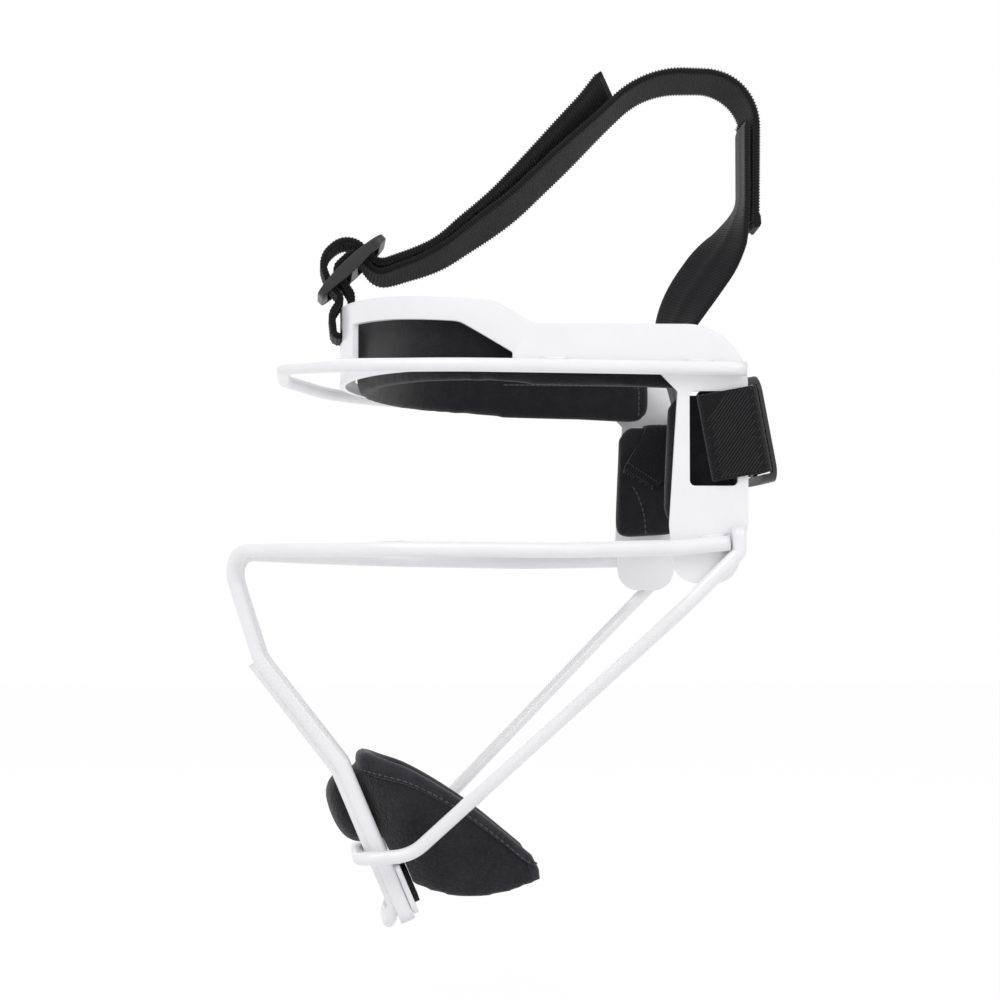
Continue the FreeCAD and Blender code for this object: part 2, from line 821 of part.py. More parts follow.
def cup_section(across, back_share, turn, top, bottom, thick, sign):
    """Closed section of the cup's wall: a cushion crowned on both faces, in short steps."""
    knee, up, back = leg_frame()
    centre = knee + Vector(sign * across * size.cup_half_width, 0, 0)
    centre += back * (size.cup_setback + back_share * size.cup_depth)
    angle = math.radians(turn)
    outward = Vector(sign * math.sin(angle), 0, 0) - back * math.cos(angle)
    half = size.cup_thickness * thick / 2
    middle = (top + bottom) / 2 * size.cup_height
    tall = (top - bottom) / 2 * size.cup_height
    edge = min(size.pad_edge, tall / 2)
    inner = half * cup_edge_share
    turns = [math.pi * share for share in shares(roll_steps)]
    roll = [(inner * math.cos(turn), tall - edge + edge * math.sin(turn)) for turn in turns]
    bulge = [1 - 2 * share for share in shares(crown_steps)[1:-1]]
    belly = [(-inner - (half - inner) * (1 - level * level), level * (tall - edge)) for level in bulge]
    side = roll + belly
    outline = side + [(-depth, -level) for depth, level in side]
    corners = [centre + outward * depth + up * (middle + level) for depth, level in outline]
    return Part.makePolygon(corners + corners[:1])


def smooth_rows(rows, steps):
    """The rows with more put between them, on smooth curves through the given ones."""
    result = []
    for index in range(len(rows) - 1):
        around = [rows[max(0, index - 1)], rows[index], rows[index + 1], rows[min(len(rows) - 1, index + 2)]]
        for share in shares(steps)[:-1]:
            row = []
            for a, b, c, d in zip(*around):
                bend = (c - a) * share + (2 * a - 5 * b + 4 * c - d) * share ** 2
                row.append(b + (bend + (3 * b - a - 3 * c + d) * share ** 3) / 2)
            result.append(row)
    return result + [list(rows[-1])]


def chin_cup():
    knee, up, back = leg_frame()
    rows = smooth_rows(cup_station_shares, cup_steps)
    wires = [cup_section(*row, -1) for row in reversed(rows[1:])] + [cup_section(*row, 1) for row in rows]
    shell = Part.makeLoft(wires, True, True)
    half = size.cup_nose_half
    nose = Part.makeBox(2 * half, size.cup_nose_reach + size.cup_setback, size.cup_nose_height)
    front_edges = [edge for edge in nose.Edges if edge.CenterOfMass.y < size.cup_nose_round / 2]
    nose = nose.makeFillet(size.cup_nose_round, front_edges)
    corner = knee - Vector(half, 0, 0) - back * size.cup_nose_reach
    corner -= up * (size.cup_nose_top + size.cup_nose_height)
    nose.Placement = Placement(corner, Rotation(Vector(1, 0, 0), back, up, "XYZ"))
    ahead = size.cheek_radius + size.weld_gap + size.chin_plate_thickness + size.hook_thickness
    recess_depth = ahead + 2 * size.soft_clearance
    recess = Part.makeBox(size.chin_plate_width + size.overrun, recess_depth + size.overrun,
                          size.chin_plate_height + 2 * size.edge_corner_radius)
    start = knee - Vector((size.chin_plate_width + size.overrun) / 2, 0, 0) - back * size.overrun
    start -= up * (size.chin_plate_drop + size.chin_plate_height + size.edge_corner_radius)
    recess.Placement = Placement(start, Rotation(Vector(1, 0, 0), back, up, "XYZ"))
    return solid_feature("chin_cup", shell.fuse(nose).cut(recess).removeSplitter())


def chin_hooks():
    knee, up, back = leg_frame()
    body = new_body("chin_hooks")
    half = size.chin_plate_width * chin_hook_share
    inset = size.edge_corner_radius
    outline = box_outline(-half, half, -size.chin_plate_height + inset, -inset, size.slot_radius)
    pad(body, "XY_Plane", [outline], "sizes.hook_thickness", both=False)
    rear_face = size.cheek_radius + size.weld_gap + size.chin_plate_thickness + size.hook_thickness
    place = knee - up * size.chin_plate_drop + back * rear_face
    body.Placement = Placement(place, Rotation(Vector(1, 0, 0), up, Vector(), "XYZ"))
    return body


# Top strap

strap_under_share = 2.4
strap_below_share = 1.5
strap_waist_share = 0.355
strap_tail_share = 0.836
strap_turn_share = 1.1
slot_turn_share = 0.7
loop_turn_share = 0.96


def slider_middle():
    return Vector(0, FRONT_Y + size.top_slider_setback, size.top_slider_lift)


def slider_point(along, off):
    """Point in the side view, from the top slider's middle: along its plate and off its plate."""
    angle = math.radians(size.top_slider_tilt)
    middle = slider_middle()
    y = middle.y + along * math.cos(angle) - off * math.sin(angle)
    z = middle.z + along * math.sin(angle) + off * math.cos(angle)
    return Vector(y, z, 0)


def strap_leg_depths():
    """Depths of the strap inside and outside the front slot."""
    half = size.top_strap_width / 2
    sag = size.band_front_radius - math.sqrt(size.band_front_radius ** 2 - half ** 2)
    room = size.soft_clearance + size.top_strap_thickness / 2
    return FRONT_Y - room, FRONT_Y + size.sheet_thickness + sag + room


def lifted(point, way, distance):
    """Point moved by a distance to the left of a way."""
    return point + Vector(-way.y, way.x, 0) * distance


def top_strap():
    """Webbing from its hem over the crest, through the slider and the front slot, and back to its end."""
    outside, inside = strap_leg_depths()
    level = size.front_slot_level
    thickness = size.top_strap_thickness
    near = size.slider_bar / 2 + thickness + size.slider_side_gap
    over = size.slider_thickness / 2 + thickness / 2 + size.slider_side_gap
    under = -over * strap_under_share
    below = -over * strap_below_share
    far = size.slider_length / 2 - size.slider_rail - thickness / 2 - 2 * size.slider_side_gap
    crest_rear = FRONT_Y + size.crest_rear
    crest = Vector(FRONT_Y + size.crest_setback, size.crest_height, 0)
    foot = Vector(inside + size.strap_foot_run, size.top_slider_lift + size.strap_foot_rise, 0)
    waist = foot + (crest - foot) * strap_waist_share - Vector(0, size.strap_sag, 0)
    first = (waist - foot).normalize()
    second = (crest - waist).normalize()
    tail = waist + (crest - waist) * strap_tail_share
    foot_lift = thickness + size.strap_layer_gap
    grow = (waist - foot).Length / ((waist - foot).Length + (tail - waist).Length)
    waist_lift = foot_lift + (size.strap_tail_lift - foot_lift) * grow
    points = [
        Vector(crest_rear, size.strap_hem_level, 0),
        Vector(crest_rear, size.crest_height, 0),
        crest,
        waist,
        foot,
        slider_point(near, under),
        slider_point(near, over),
        slider_point(-near, over),
        Vector(inside, slider_point(-near, under).y, 0),
        Vector(inside, level, 0),
        Vector(outside - size.strap_swell / 2, level, 0),
        Vector(outside - size.strap_swell, level + 5 * size.strap_swell, 0),
        slider_point(-far, below),
        slider_point(-far, size.slider_side_gap),
        slider_point(-size.slider_loop_front, size.slider_loop_rise + size.slider_side_gap),
        slider_point(size.slider_loop_half, size.slider_loop_rise),
        slider_point(size.slider_loop_half, below),
        lifted(foot, first, foot_lift),
        lifted(waist, (first + second).normalize(), waist_lift),
        lifted(tail, second, size.strap_tail_lift),
    ]
    tight = thickness * strap_turn_share
    slot_turn = tight * slot_turn_share
    loop = size.slider_loop_half
    radii = [0, 8 * thickness, 15 * thickness, 20 * thickness, 9 * thickness, tight, tight, tight, tight,
             slot_turn, slot_turn, 2 * thickness, tight, 2 * thickness, loop, loop * loop_turn_share,
             tight, 4 * thickness, 20 * thickness, 0]
    body = new_body("top_strap")
    pad(body, "YZ_Plane", [ribbon(points, radii, thickness)], "sizes.top_strap_width")
    return body


def top_slider():
    """Flat ring with a middle bar, which grips the doubled webbing."""
    body = new_body("top_slider")
    half_long = size.slider_length / 2
    inner = size.top_strap_width / 2 + size.slider_side_gap
    half_wide = inner + size.slider_rail
    outer = box_outline(-half_wide, half_wide, -half_long, half_long, size.slider_corner)
    pad(body, "XY_Plane", [outer], "sizes.slider_thickness")
    low = size.slider_bar / 2
    high = half_long - size.slider_rail
    windows = [box_outline(-inner, inner, low, high, size.slot_radius),
               box_outline(-inner, inner, -high, -low, size.slot_radius)]
    pocket(body, "XY_Plane", windows)
    angle = math.radians(size.top_slider_tilt)
    along = Vector(0, math.cos(angle), math.sin(angle))
    body.Placement = Placement(slider_middle(), Rotation(Vector(1, 0, 0), along, Vector(), "XYZ"))
    return body


# Rear strap

fold_turn_share = 0.42
# Corners of the loose end in the side view, forward of the sheet's rear edge and down
tail_outline_shares = [
    (0.615, 0.4), (0.13, 0.4), (0.15, 0.71), (0.3, 0.91), (0.51, 1.0), (0.99, 0.82), (0.71, 0.56),
]


def rear_placement():
    """The rear strap's own frame: its fold line leans back at the bottom."""
    pivot = Vector(0, REAR_Y - size.rear_strap_fold, -size.slot_drop)
    lean = Rotation(Vector(1, 0, 0), size.rear_tilt)
    return Placement(pivot, lean).multiply(Placement(-Vector(0, pivot.y, 0), Rotation()))


def rear_bend():
    """Plan point where the rear strap turns from the temple towards the back of the head."""
    room = size.soft_clearance + size.rear_strap_thickness / 2
    return side_point(-room, REAR_Y + size.rear_strap_bend)


def rear_middle_y():
    return rear_bend().y - size.rear_strap_middle


def rear_strap():
    thickness = size.rear_strap_thickness
    room = size.soft_clearance + thickness / 2
    fold = REAR_Y - size.rear_strap_fold
    bend = rear_bend()
    outside = side_point(-room, fold)
    inside = side_point(size.sheet_thickness + room, fold)
    slope = size.rear_strap_middle / bend.x
    reach = (bend.x - inside.x) * slope + thickness * (1 + slope) + size.soft_clearance / 2
    end = side_point(size.sheet_thickness + room, bend.y - reach)
    half = [bend, outside, inside, end]
    points = both_sides(half)
    tight = (outside - inside).Length * fold_turn_share
    radii = [2 * thickness, tight, tight, 0]
    middle = len(half)
    points.insert(middle, Vector(0, rear_middle_y(), 0))
    body = new_body("rear_strap")
    pad(body, "XY_Plane", [ribbon(points, radii[::-1] + [size.band_corner_radius] + radii, thickness)],
        "sizes.rear_strap_width")
    body.Placement = rear_placement()
    return body


def rear_slider_left():
    """Three bar slider: two end bars outside the webbing and the middle bar inside it."""
    body = new_body("rear_slider_left")
    half_long = size.rear_slider_length / 2
    half_high = size.rear_slider_height / 2
    web = size.rear_strap_width / 2 + size.strap_side_gap
    rail = half_high - web
    window = half_long - rail
    thick = size.rear_slider_thickness
    free = size.rear_strap_thickness / 2 + size.rear_slider_gap
    outer = box_outline(-half_long, half_long, -half_high, half_high, size.rear_slider_corner)
    opening = box_outline(-window, window, -web, web, size.slot_radius)
    pad(body, "XZ_Plane", [outer, opening], "sizes.rear_slider_thickness")
    channel = box_outline(-half_long - rail, half_long + rail, -web, web, 0)
    pocket(body, "XZ_Plane", [channel],
           "sizes.rear_slider_thickness / 2 + sizes.rear_strap_thickness / 2 + sizes.rear_slider_gap",
           offset=thick / 2)
    bar_half = size.rear_slider_bar / 2
    bar_outline = box_outline(-bar_half, bar_half, -web - rail / 2, web + rail / 2, 0)
    pad(body, "XZ_Plane", [bar_outline],
        "sizes.rear_slider_thickness / 2 - sizes.rear_strap_thickness / 2 - sizes.rear_slider_gap",
        offset=free, both=False)
    bend = rear_bend()
    slope = size.rear_strap_middle / bend.x
    way = Vector(1, slope, 0).normalize()
    across = bend.x - size.rear_slider_setback
    place = Vector(across, rear_middle_y() + slope * across, 0)
    own = Placement(place, Rotation(way, Vector(-way.y, way.x, 0), Vector(0, 0, 1), "XYZ"))
    body.Placement = rear_placement().multiply(own)
    return body


def rear_tail_left():
    """Loose end of the elastic, which runs through the slit and hangs over the temple cushion."""
    thickness = size.rear_strap_thickness
    slit = (size.pad_low_rear + size.temple_pad_top) / 2
    back = size.sheet_thickness + size.pad_gap + size.soft_clearance
    face = size.sheet_thickness + size.pad_gap + size.cushion_thickness + size.soft_clearance + thickness / 2
    low = -size.tail_length - size.overrun
    points = [Vector(back, -slit, 0), Vector(face, -slit, 0), Vector(face, low, 0)]
    body = new_body("rear_tail_left")
    pad(body, "YZ_Plane", [ribbon(points, [0, thickness, 0], thickness)],
        "2 * (sizes.tail_width + sizes.overrun)")
    rest = size.tail_width + 2 * size.overrun
    frame = box_outline(-rest, rest, low - size.overrun, size.overrun, 0)
    flap = [Vector(-across * size.tail_width, -down * size.tail_length, 0)
            for across, down in tail_outline_shares]
    pocket(body, "XZ_Plane", [frame, trace(flap, [0] * len(flap), closed=True)])
    body.Placement = side_placement(0)
    return body


# Riser strap

riser_steps = 20
# Where, down the strap's height, it comes forward, begins to turn and has turned back
riser_forward_shares = (0.2, 0.66)
riser_rise_shares = (0.19, 0.4)
riser_fall_shares = (0.46, 0.77)


def eased(value, start, end):
    """Share from nothing at start to the whole at end, with soft ends."""
    share = min(1, max(0, (value - start) / (end - start)))
    return share * share * (3 - 2 * share)


def riser_strap():
    """Strap from under the top strap's hem down to the middle of the rear strap, with a half twist."""
    half = size.riser_width / 2
    thick = size.riser_thickness / 2
    top_y = FRONT_Y + size.crest_rear - size.top_strap_thickness / 2 - size.soft_clearance - thick
    top = Vector(0, top_y, size.strap_hem_level + size.riser_overlap)
    turn = math.atan(size.rear_strap_middle / rear_bend().x)
    sag = size.band_corner_radius * (1 / math.cos(turn) - 1)
    seam = rear_placement().multVec(Vector(0, rear_middle_y() + sag - size.rear_strap_thickness / 2, 0))
    lean = math.radians(size.rear_tilt)
    drop = Vector(0, math.sin(lean), -math.cos(lean))
    out = Vector(0, math.cos(lean), math.sin(lean))
    seam -= out * (size.soft_clearance + thick)
    low = seam + drop * (size.rear_strap_width / 2)
    wires = []
    height = top.z - low.z
    for down in shares(riser_steps):
        forward = eased(down, *riser_forward_shares)
        roll = eased(down, *riser_rise_shares) * (1 - eased(down, *riser_fall_shares))
        angle = math.radians(size.riser_roll * roll)
        z = top.z - down * height
        sewn_y = seam.y + (seam.z - z) * math.tan(lean)
        y = top.y - max(forward * (top.y - sewn_y), half * math.sin(angle))
        wide = Vector(math.cos(angle), math.sin(angle), 0) * half
        deep = Vector(-math.sin(angle), math.cos(angle), 0) * thick
        middle = Vector(0, y, z)
        corners = [middle + wide + deep, middle - wide + deep, middle - wide - deep, middle + wide - deep]
        wires.append(Part.makePolygon(corners + corners[:1]))
    return solid_feature("riser_strap", Part.makeLoft(wires, True, True))


def build():
    left = [cheek_bar_left(), temple_pad_left(), temple_tape_left(), rear_slider_left(), rear_tail_left()]
    left += forehead_tapes()
    pieces = left + [mirror(piece, piece.Label.replace("_left", "_right")) for piece in left]
    pieces += [forehead_band(), brow_bar(), front_loop(), jaw_bar(), chin_plate(), weld_beads()]
    pieces += [forehead_pad(), chin_cup(), chin_hooks()]
    pieces += [top_strap(), top_slider(), rear_strap(), riser_strap()]
    document.recompute()
    return pieces


def check(pieces):
    for item in document.Objects:
        if any(word in ("Invalid", "Error") for word in item.State):
            raise ValueError(item.Label + " failed")
    for piece in pieces:
        if piece.Shape.isNull() or not piece.Shape.isValid():
            raise ValueError(piece.Label + " has no sound shape")


def export(pieces):
    os.makedirs("parts", exist_ok=True)
    for piece in sorted(pieces, key=lambda item: item.Label):
        piece.Shape.exportStep("parts/%s.step" % piece.Label)
        solids = len(piece.Shape.Solids)
        print("%-24s %d solid(s) %10.1f mm3" % (piece.Label, solids, piece.Shape.Volume))


pieces = build()
check(pieces)
export(pieces)
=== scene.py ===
# %% [markdown]
# A softball fielder's mask, built as a lesson. A white powder coated frame of bent sheet and round
# bars carries black cushions, a chin cup and webbing straps. The solids of the frame come from the
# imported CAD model, and this script gives them their finish and makes the soft goods round them.

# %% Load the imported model
import math
import bpy
import bmesh
from mathutils import Matrix, Vector, bvhtree


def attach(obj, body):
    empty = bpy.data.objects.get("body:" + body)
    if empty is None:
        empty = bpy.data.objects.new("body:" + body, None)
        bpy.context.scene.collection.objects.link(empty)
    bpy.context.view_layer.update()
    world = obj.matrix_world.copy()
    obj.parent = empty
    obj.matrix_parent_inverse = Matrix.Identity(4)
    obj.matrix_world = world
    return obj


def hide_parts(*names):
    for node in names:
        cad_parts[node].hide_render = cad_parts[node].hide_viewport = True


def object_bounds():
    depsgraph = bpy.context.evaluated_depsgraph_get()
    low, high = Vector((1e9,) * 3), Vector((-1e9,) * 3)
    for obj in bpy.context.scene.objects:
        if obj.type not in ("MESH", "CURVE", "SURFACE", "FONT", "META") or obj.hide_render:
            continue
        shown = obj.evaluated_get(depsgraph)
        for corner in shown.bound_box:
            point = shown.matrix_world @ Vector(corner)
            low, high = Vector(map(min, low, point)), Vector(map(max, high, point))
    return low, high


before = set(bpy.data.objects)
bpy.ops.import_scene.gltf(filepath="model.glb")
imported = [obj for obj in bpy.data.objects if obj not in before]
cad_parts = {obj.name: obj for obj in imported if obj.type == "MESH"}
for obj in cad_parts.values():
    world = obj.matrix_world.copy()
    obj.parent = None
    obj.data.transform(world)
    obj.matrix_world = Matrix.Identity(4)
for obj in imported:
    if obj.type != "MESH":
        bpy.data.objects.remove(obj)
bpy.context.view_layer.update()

MM = 0.001

# %% [markdown]
# The camera stands at the mask's left side, a little ahead of it and a little below its middle.
# Nine hundred and eighty five millimetres away, its lens of 96 mm gives the flat look of a product
# picture. The camera comes first, because every later choice of detail depends on what it sees.

# %% Camera
scene = bpy.context.scene
CAMERA_AIM = Vector((0.0, 0.046, -0.052))
CAMERA_DISTANCE = 0.985
CAMERA_TURN = math.radians(4.0)
CAMERA_RISE = math.radians(2.8)
CAMERA_FOCAL_SHARE = 2.66
SENSOR_WIDTH = 36.0


def look_direction(turn, rise):
    return Vector((-math.cos(turn) * math.cos(rise), math.sin(turn) * math.cos(rise), math.sin(rise)))


def place_camera():
    look = look_direction(CAMERA_TURN, CAMERA_RISE)
    data = bpy.data.cameras.new("side_camera")
    data.sensor_width = SENSOR_WIDTH
    data.lens = CAMERA_FOCAL_SHARE * SENSOR_WIDTH
    camera = bpy.data.objects.new("side_camera", data)
    scene.collection.objects.link(camera)
    camera.location = CAMERA_AIM - look * CAMERA_DISTANCE
    camera.rotation_euler = look.to_track_quat("-Z", "Y").to_euler()
    scene.camera = camera
    return camera


camera = place_camera()
print("camera at", [round(value, 3) for value in camera.location], "lens", camera.data.lens)

# %% [markdown]
# Shader and geometry trees are built with two small helpers: one opens a node group with named
# inputs and outputs, the other adds a node and wires its inputs. They keep each later tree short.

# %% Helpers for node trees


def open_group(name, kind, inputs, outputs):
    """A new node group with named sockets: (tree, its input sockets, its output sockets)."""
    tree = bpy.data.node_groups.new(name, kind)
    for label, socket, value in inputs:
        item = tree.interface.new_socket(label, in_out="INPUT", socket_type=socket)
        if value is not None:
            item.default_value = value
    for label, socket in outputs:
        tree.interface.new_socket(label, in_out="OUTPUT", socket_type=socket)
    entry = tree.nodes.new("NodeGroupInput")
    leave = tree.nodes.new("NodeGroupOutput")
    return tree, entry.outputs, leave.inputs


def add(tree, kind, links=None, **settings):
    """Adds a node, sets its properties and feeds its inputs with sockets or plain values."""
    node = tree.nodes.new(kind)
    for key, value in settings.items():
        setattr(node, key, value)
    for key, value in (links or {}).items():
        if isinstance(value, bpy.types.NodeSocket):
            tree.links.new(value, node.inputs[key])
        else:
            node.inputs[key].default_value = value
    return node


def calculate(tree, operation, first, second=0.0, third=0.0):
    node = add(tree, "ShaderNodeMath", {0: first, 1: second, 2: third}, operation=operation)
    return node.outputs[0]


# %% [markdown]
# Three surface effects are shared by several finishes, so each is one shader group. The knit group
# makes the small loops of a napped cover, with painted shade darkening the hollows between loops and
# random patches of tone; the rib group makes the ridges of webbing from a piece's own UV map, with
# painted shade in the grooves; and the grime group makes soft uneven patches for lint, handling and
# paint.

# %% Shared surface effects


def knit_group():
    tree, given, result = open_group(
        "knit_loops", "ShaderNodeTree",
        [("Vector", "NodeSocketVector", None), ("Loop", "NodeSocketFloat", 0.0008)],
        [("Height", "NodeSocketFloat"), ("Tone_and_painted_shade", "NodeSocketFloat")])
    scale = calculate(tree, "DIVIDE", 1.0, given["Loop"])
    loops = add(tree, "ShaderNodeTexVoronoi", {"Vector": given["Vector"], "Scale": scale}, feature="SMOOTH_F1")
    fuzz_scale = calculate(tree, "MULTIPLY", scale, 2.3)
    fuzz = add(tree, "ShaderNodeTexNoise", {"Vector": given["Vector"], "Scale": fuzz_scale, "Detail": 3.0})
    patch_scale = calculate(tree, "MULTIPLY", scale, 0.11)
    patch = add(tree, "ShaderNodeTexNoise", {"Vector": given["Vector"], "Scale": patch_scale, "Detail": 2.0})
    height = calculate(tree, "MULTIPLY_ADD", loops.outputs["Distance"], -0.5, fuzz.outputs["Fac"])
    # Painted shade: the colour is darker where the loops dip and lighter on their crests; the patches are random
    # tone.
    shade = calculate(tree, "MULTIPLY_ADD", height, 0.6, calculate(tree, "MULTIPLY", patch.outputs["Fac"], 0.7))
    tree.links.new(height, result["Height"])
    tree.links.new(shade, result["Tone_and_painted_shade"])
    return tree


def rib_group():
    tree, given, result = open_group(
        "webbing_ribs", "ShaderNodeTree",
        [("Vector", "NodeSocketVector", None), ("Pitch", "NodeSocketFloat", 0.0012),
         ("Slant", "NodeSocketFloat", 0.0)],
        [("Height", "NodeSocketFloat"), ("Tone_and_painted_shade", "NodeSocketFloat")])
    split = add(tree, "ShaderNodeSeparateXYZ", {0: given["Vector"]})
    leaned = calculate(tree, "MULTIPLY_ADD", split.outputs["Y"], given["Slant"], split.outputs["X"])
    turns = calculate(tree, "DIVIDE", leaned, given["Pitch"])
    wave = calculate(tree, "SINE", calculate(tree, "MULTIPLY", turns, 2 * math.pi))
    yarn_scale = calculate(tree, "DIVIDE", 2.2, given["Pitch"])
    yarn = add(tree, "ShaderNodeTexNoise", {"Vector": given["Vector"], "Scale": yarn_scale, "Detail": 3.0})
    height = calculate(tree, "MULTIPLY_ADD", yarn.outputs["Fac"], 0.9, calculate(tree, "MULTIPLY", wave, 0.5))
    tree.links.new(height, result["Height"])
    # Painted shade: the colour follows the ribs, darker in the grooves and lighter on the ridges, plus random yarn
    # tone.
    tree.links.new(calculate(tree, "MULTIPLY", height, 0.7), result["Tone_and_painted_shade"])
    return tree


def grime_group():
    tree, given, result = open_group(
        "soft_patches", "ShaderNodeTree",
        [("Vector", "NodeSocketVector", None), ("Scale", "NodeSocketFloat", 60.0)],
        [("Mask", "NodeSocketFloat"), ("Ripple", "NodeSocketFloat")])
    wide = add(tree, "ShaderNodeTexNoise", {"Vector": given["Vector"], "Scale": given["Scale"], "Detail": 3.0})
    fine_scale = calculate(tree, "MULTIPLY", given["Scale"], 9.0)
    fine = add(tree, "ShaderNodeTexNoise", {"Vector": given["Vector"], "Scale": fine_scale, "Detail": 2.0})
    tree.links.new(wide.outputs["Fac"], result["Mask"])
    tree.links.new(fine.outputs["Fac"], result["Ripple"])
    return tree


KNIT = knit_group()
RIBS = rib_group()
GRIME = grime_group()
print("shader groups:", KNIT.name, RIBS.name, GRIME.name)

# %% [markdown]
# Each finish is a Principled material. Colours that vary are mixed from two close tones by one of
# the shared masks, and the fine relief goes through a Bump node whose distance is the real height.
# On knit and webbing that mask is partly painted shade, darker in the hollows and grooves of the relief.

# %% Material builders


def start_material(name, roughness, **constants):
    """A Principled material whose constants sit directly on its sockets: (material, tree, shader)."""
    material = bpy.data.materials.new(name)
    material.use_nodes = True
    tree = material.node_tree
    shader = tree.nodes["Principled BSDF"]
    shader.inputs["Roughness"].default_value = roughness
    for label, value in constants.items():
        shader.inputs[label.replace("_", " ")].default_value = value
    return material, tree, shader


def two_tones(tree, shader, mask, dark, light, low, high):
    """Base colour between two tones, as the mask goes from low to high."""
    spread = add(tree, "ShaderNodeMapRange", {"Value": mask, "From Min": low, "From Max": high})
    mix = add(tree, "ShaderNodeMix", {0: spread.outputs[0]}, data_type="RGBA")
    mix.inputs[6].default_value = (*dark, 1.0)
    mix.inputs[7].default_value = (*light, 1.0)
    tree.links.new(mix.outputs[2], shader.inputs["Base Color"])


def relief(tree, shader, height, distance, strength=1.0):
    bump = add(tree, "ShaderNodeBump", {"Height": height, "Distance": distance, "Strength": strength})
    tree.links.new(bump.outputs["Normal"], shader.inputs["Normal"])


def finish(name, roughness, group, values, mask, height, tones, span, depth, **constants):
    """A material whose shared effect mixes two tones and gives the fine relief."""
    material, tree, shader = start_material(name, roughness, **constants)
    if group == RIBS:
        place = add(tree, "ShaderNodeUVMap", {}, uv_map="weave").outputs["UV"]
    else:
        place = add(tree, "ShaderNodeTexCoord").outputs["Object"]
    effect = add(tree, "ShaderNodeGroup", {"Vector": place, **values}, node_tree=group).outputs
    two_tones(tree, shader, effect[mask], *tones, *span)
    relief(tree, shader, effect[height], depth)
    return material


def knit_cloth(name, loop, dark, light, depth):
    # The colour mask here is painted shade in the hollows between loops, plus random patches of tone.
    return finish(name, 0.93, KNIT, {"Loop": loop}, "Tone_and_painted_shade", "Height", (dark, light), (0.1, 0.75), depth,
                  Sheen_Weight=0.25, Sheen_Roughness=0.5, Specular_IOR_Level=0.15)


def webbing(name, pitch, slant, dark, light, depth):
    # The colour mask here is painted shade in the grooves between ribs, plus random yarn tone.
    return finish(name, 0.88, RIBS, {"Pitch": pitch, "Slant": slant}, "Tone_and_painted_shade", "Height", (dark, light),
                  (0.0, 0.75), depth, Sheen_Weight=0.2, Sheen_Roughness=0.45, Specular_IOR_Level=0.2)


def plain_finish(name, roughness, dark, light, grain, depth, **constants):
    return finish(name, roughness, GRIME, {"Scale": grain}, "Mask", "Ripple", (dark, light), (0.3, 0.7), depth,
                  **constants)


# %% Finishes of this mask
PAINT = plain_finish("white_powder_coat", 0.32, (0.875, 0.874, 0.890), (0.910, 0.909, 0.922), 45.0, 0.00006,
                     Coat_Weight=0.35, Coat_Roughness=0.12)
COVER = knit_cloth("black_knit_cover", 0.0006, (0.0034, 0.0032, 0.0040), (0.0175, 0.0166, 0.0195), 0.00022)
CUP_KNIT = knit_cloth("black_cup_knit", 0.0013, (0.0036, 0.0034, 0.0042), (0.0260, 0.0250, 0.0285), 0.00055)
# Its light tone, well above the cover's, is painted sheen: the glints of the mesh loops on their crests.
BINDING = knit_cloth("mesh_binding", 0.0010, (0.0060, 0.0058, 0.0068), (0.038, 0.036, 0.042), 0.00020)
RISER_KNIT = webbing("black_riser_knit", 0.0011, 0.0, (0.0060, 0.0057, 0.0066), (0.0140, 0.0132, 0.0155), 0.00010)
WEB = webbing("black_top_webbing", 0.0011, 0.0, (0.0040, 0.0038, 0.0046), (0.0120, 0.0115, 0.0135), 0.00012)
ELASTIC = webbing("black_ribbed_elastic", 0.0012, 0.9, (0.0035, 0.0034, 0.0040), (0.0095, 0.0092, 0.0108),
                  0.00010)
TAIL_ELASTIC = webbing("black_tail_elastic", 0.0012, -0.55, (0.0045, 0.0043, 0.0052), (0.0165, 0.0160, 0.0185),
                       0.00020)
RIB_YARN = plain_finish("rib_yarn", 0.85, (0.0050, 0.0048, 0.0056), (0.0135, 0.0130, 0.0150), 900.0, 0.00005,
                        Sheen_Weight=0.10)
WEB_YARN = plain_finish("webbing_yarn", 0.9, (0.0028, 0.0027, 0.0032), (0.0080, 0.0077, 0.0090), 900.0, 0.00005,
                        Sheen_Weight=0.05)
THREAD = plain_finish("sewing_thread", 0.75, (0.020, 0.0195, 0.022), (0.060, 0.058, 0.064), 1400.0, 0.00004,
                      Sheen_Weight=0.3)
PLASTIC = plain_finish("satin_black_plastic", 0.46, (0.0065, 0.0062, 0.0074), (0.0110, 0.0106, 0.0125), 120.0,
                       0.00002, Coat_Weight=0.12, Coat_Roughness=0.25)
TAPE = plain_finish("hook_tape_ground", 0.85, (0.008, 0.0078, 0.0088), (0.015, 0.0147, 0.0163), 700.0, 0.0001)
print("finishes:", [material.name for material in bpy.data.materials if material.use_nodes])

# %% [markdown]
# The real sheet and bars leave the paint line with soft edges, because powder builds a skin over
# every cut. The CAD solids have sharp edges, so each painted sheet is copied, its loose triangles
# are merged, flat areas are joined to single faces, and a narrow bevel rounds the remaining edges.

# %% Helpers for meshes


def link_object(name, mesh, material):
    piece = bpy.data.objects.new(name, mesh)
    scene.collection.objects.link(piece)
    piece.data.materials.clear()
    piece.data.materials.append(material)
    return piece


def baked(piece):
    """Turns a piece's modifiers into plain mesh."""
    graph = bpy.context.evaluated_depsgraph_get()
    mesh = bpy.data.meshes.new_from_object(piece.evaluated_get(graph))
    piece.modifiers.clear()
    old = piece.data
    piece.data = mesh
    bpy.data.meshes.remove(old)
    return piece


def smooth(piece, angle=None):
    for face in piece.data.polygons:
        face.use_smooth = True
    if angle is not None:
        piece.data.set_sharp_from_angle(angle=math.radians(angle))
    return piece


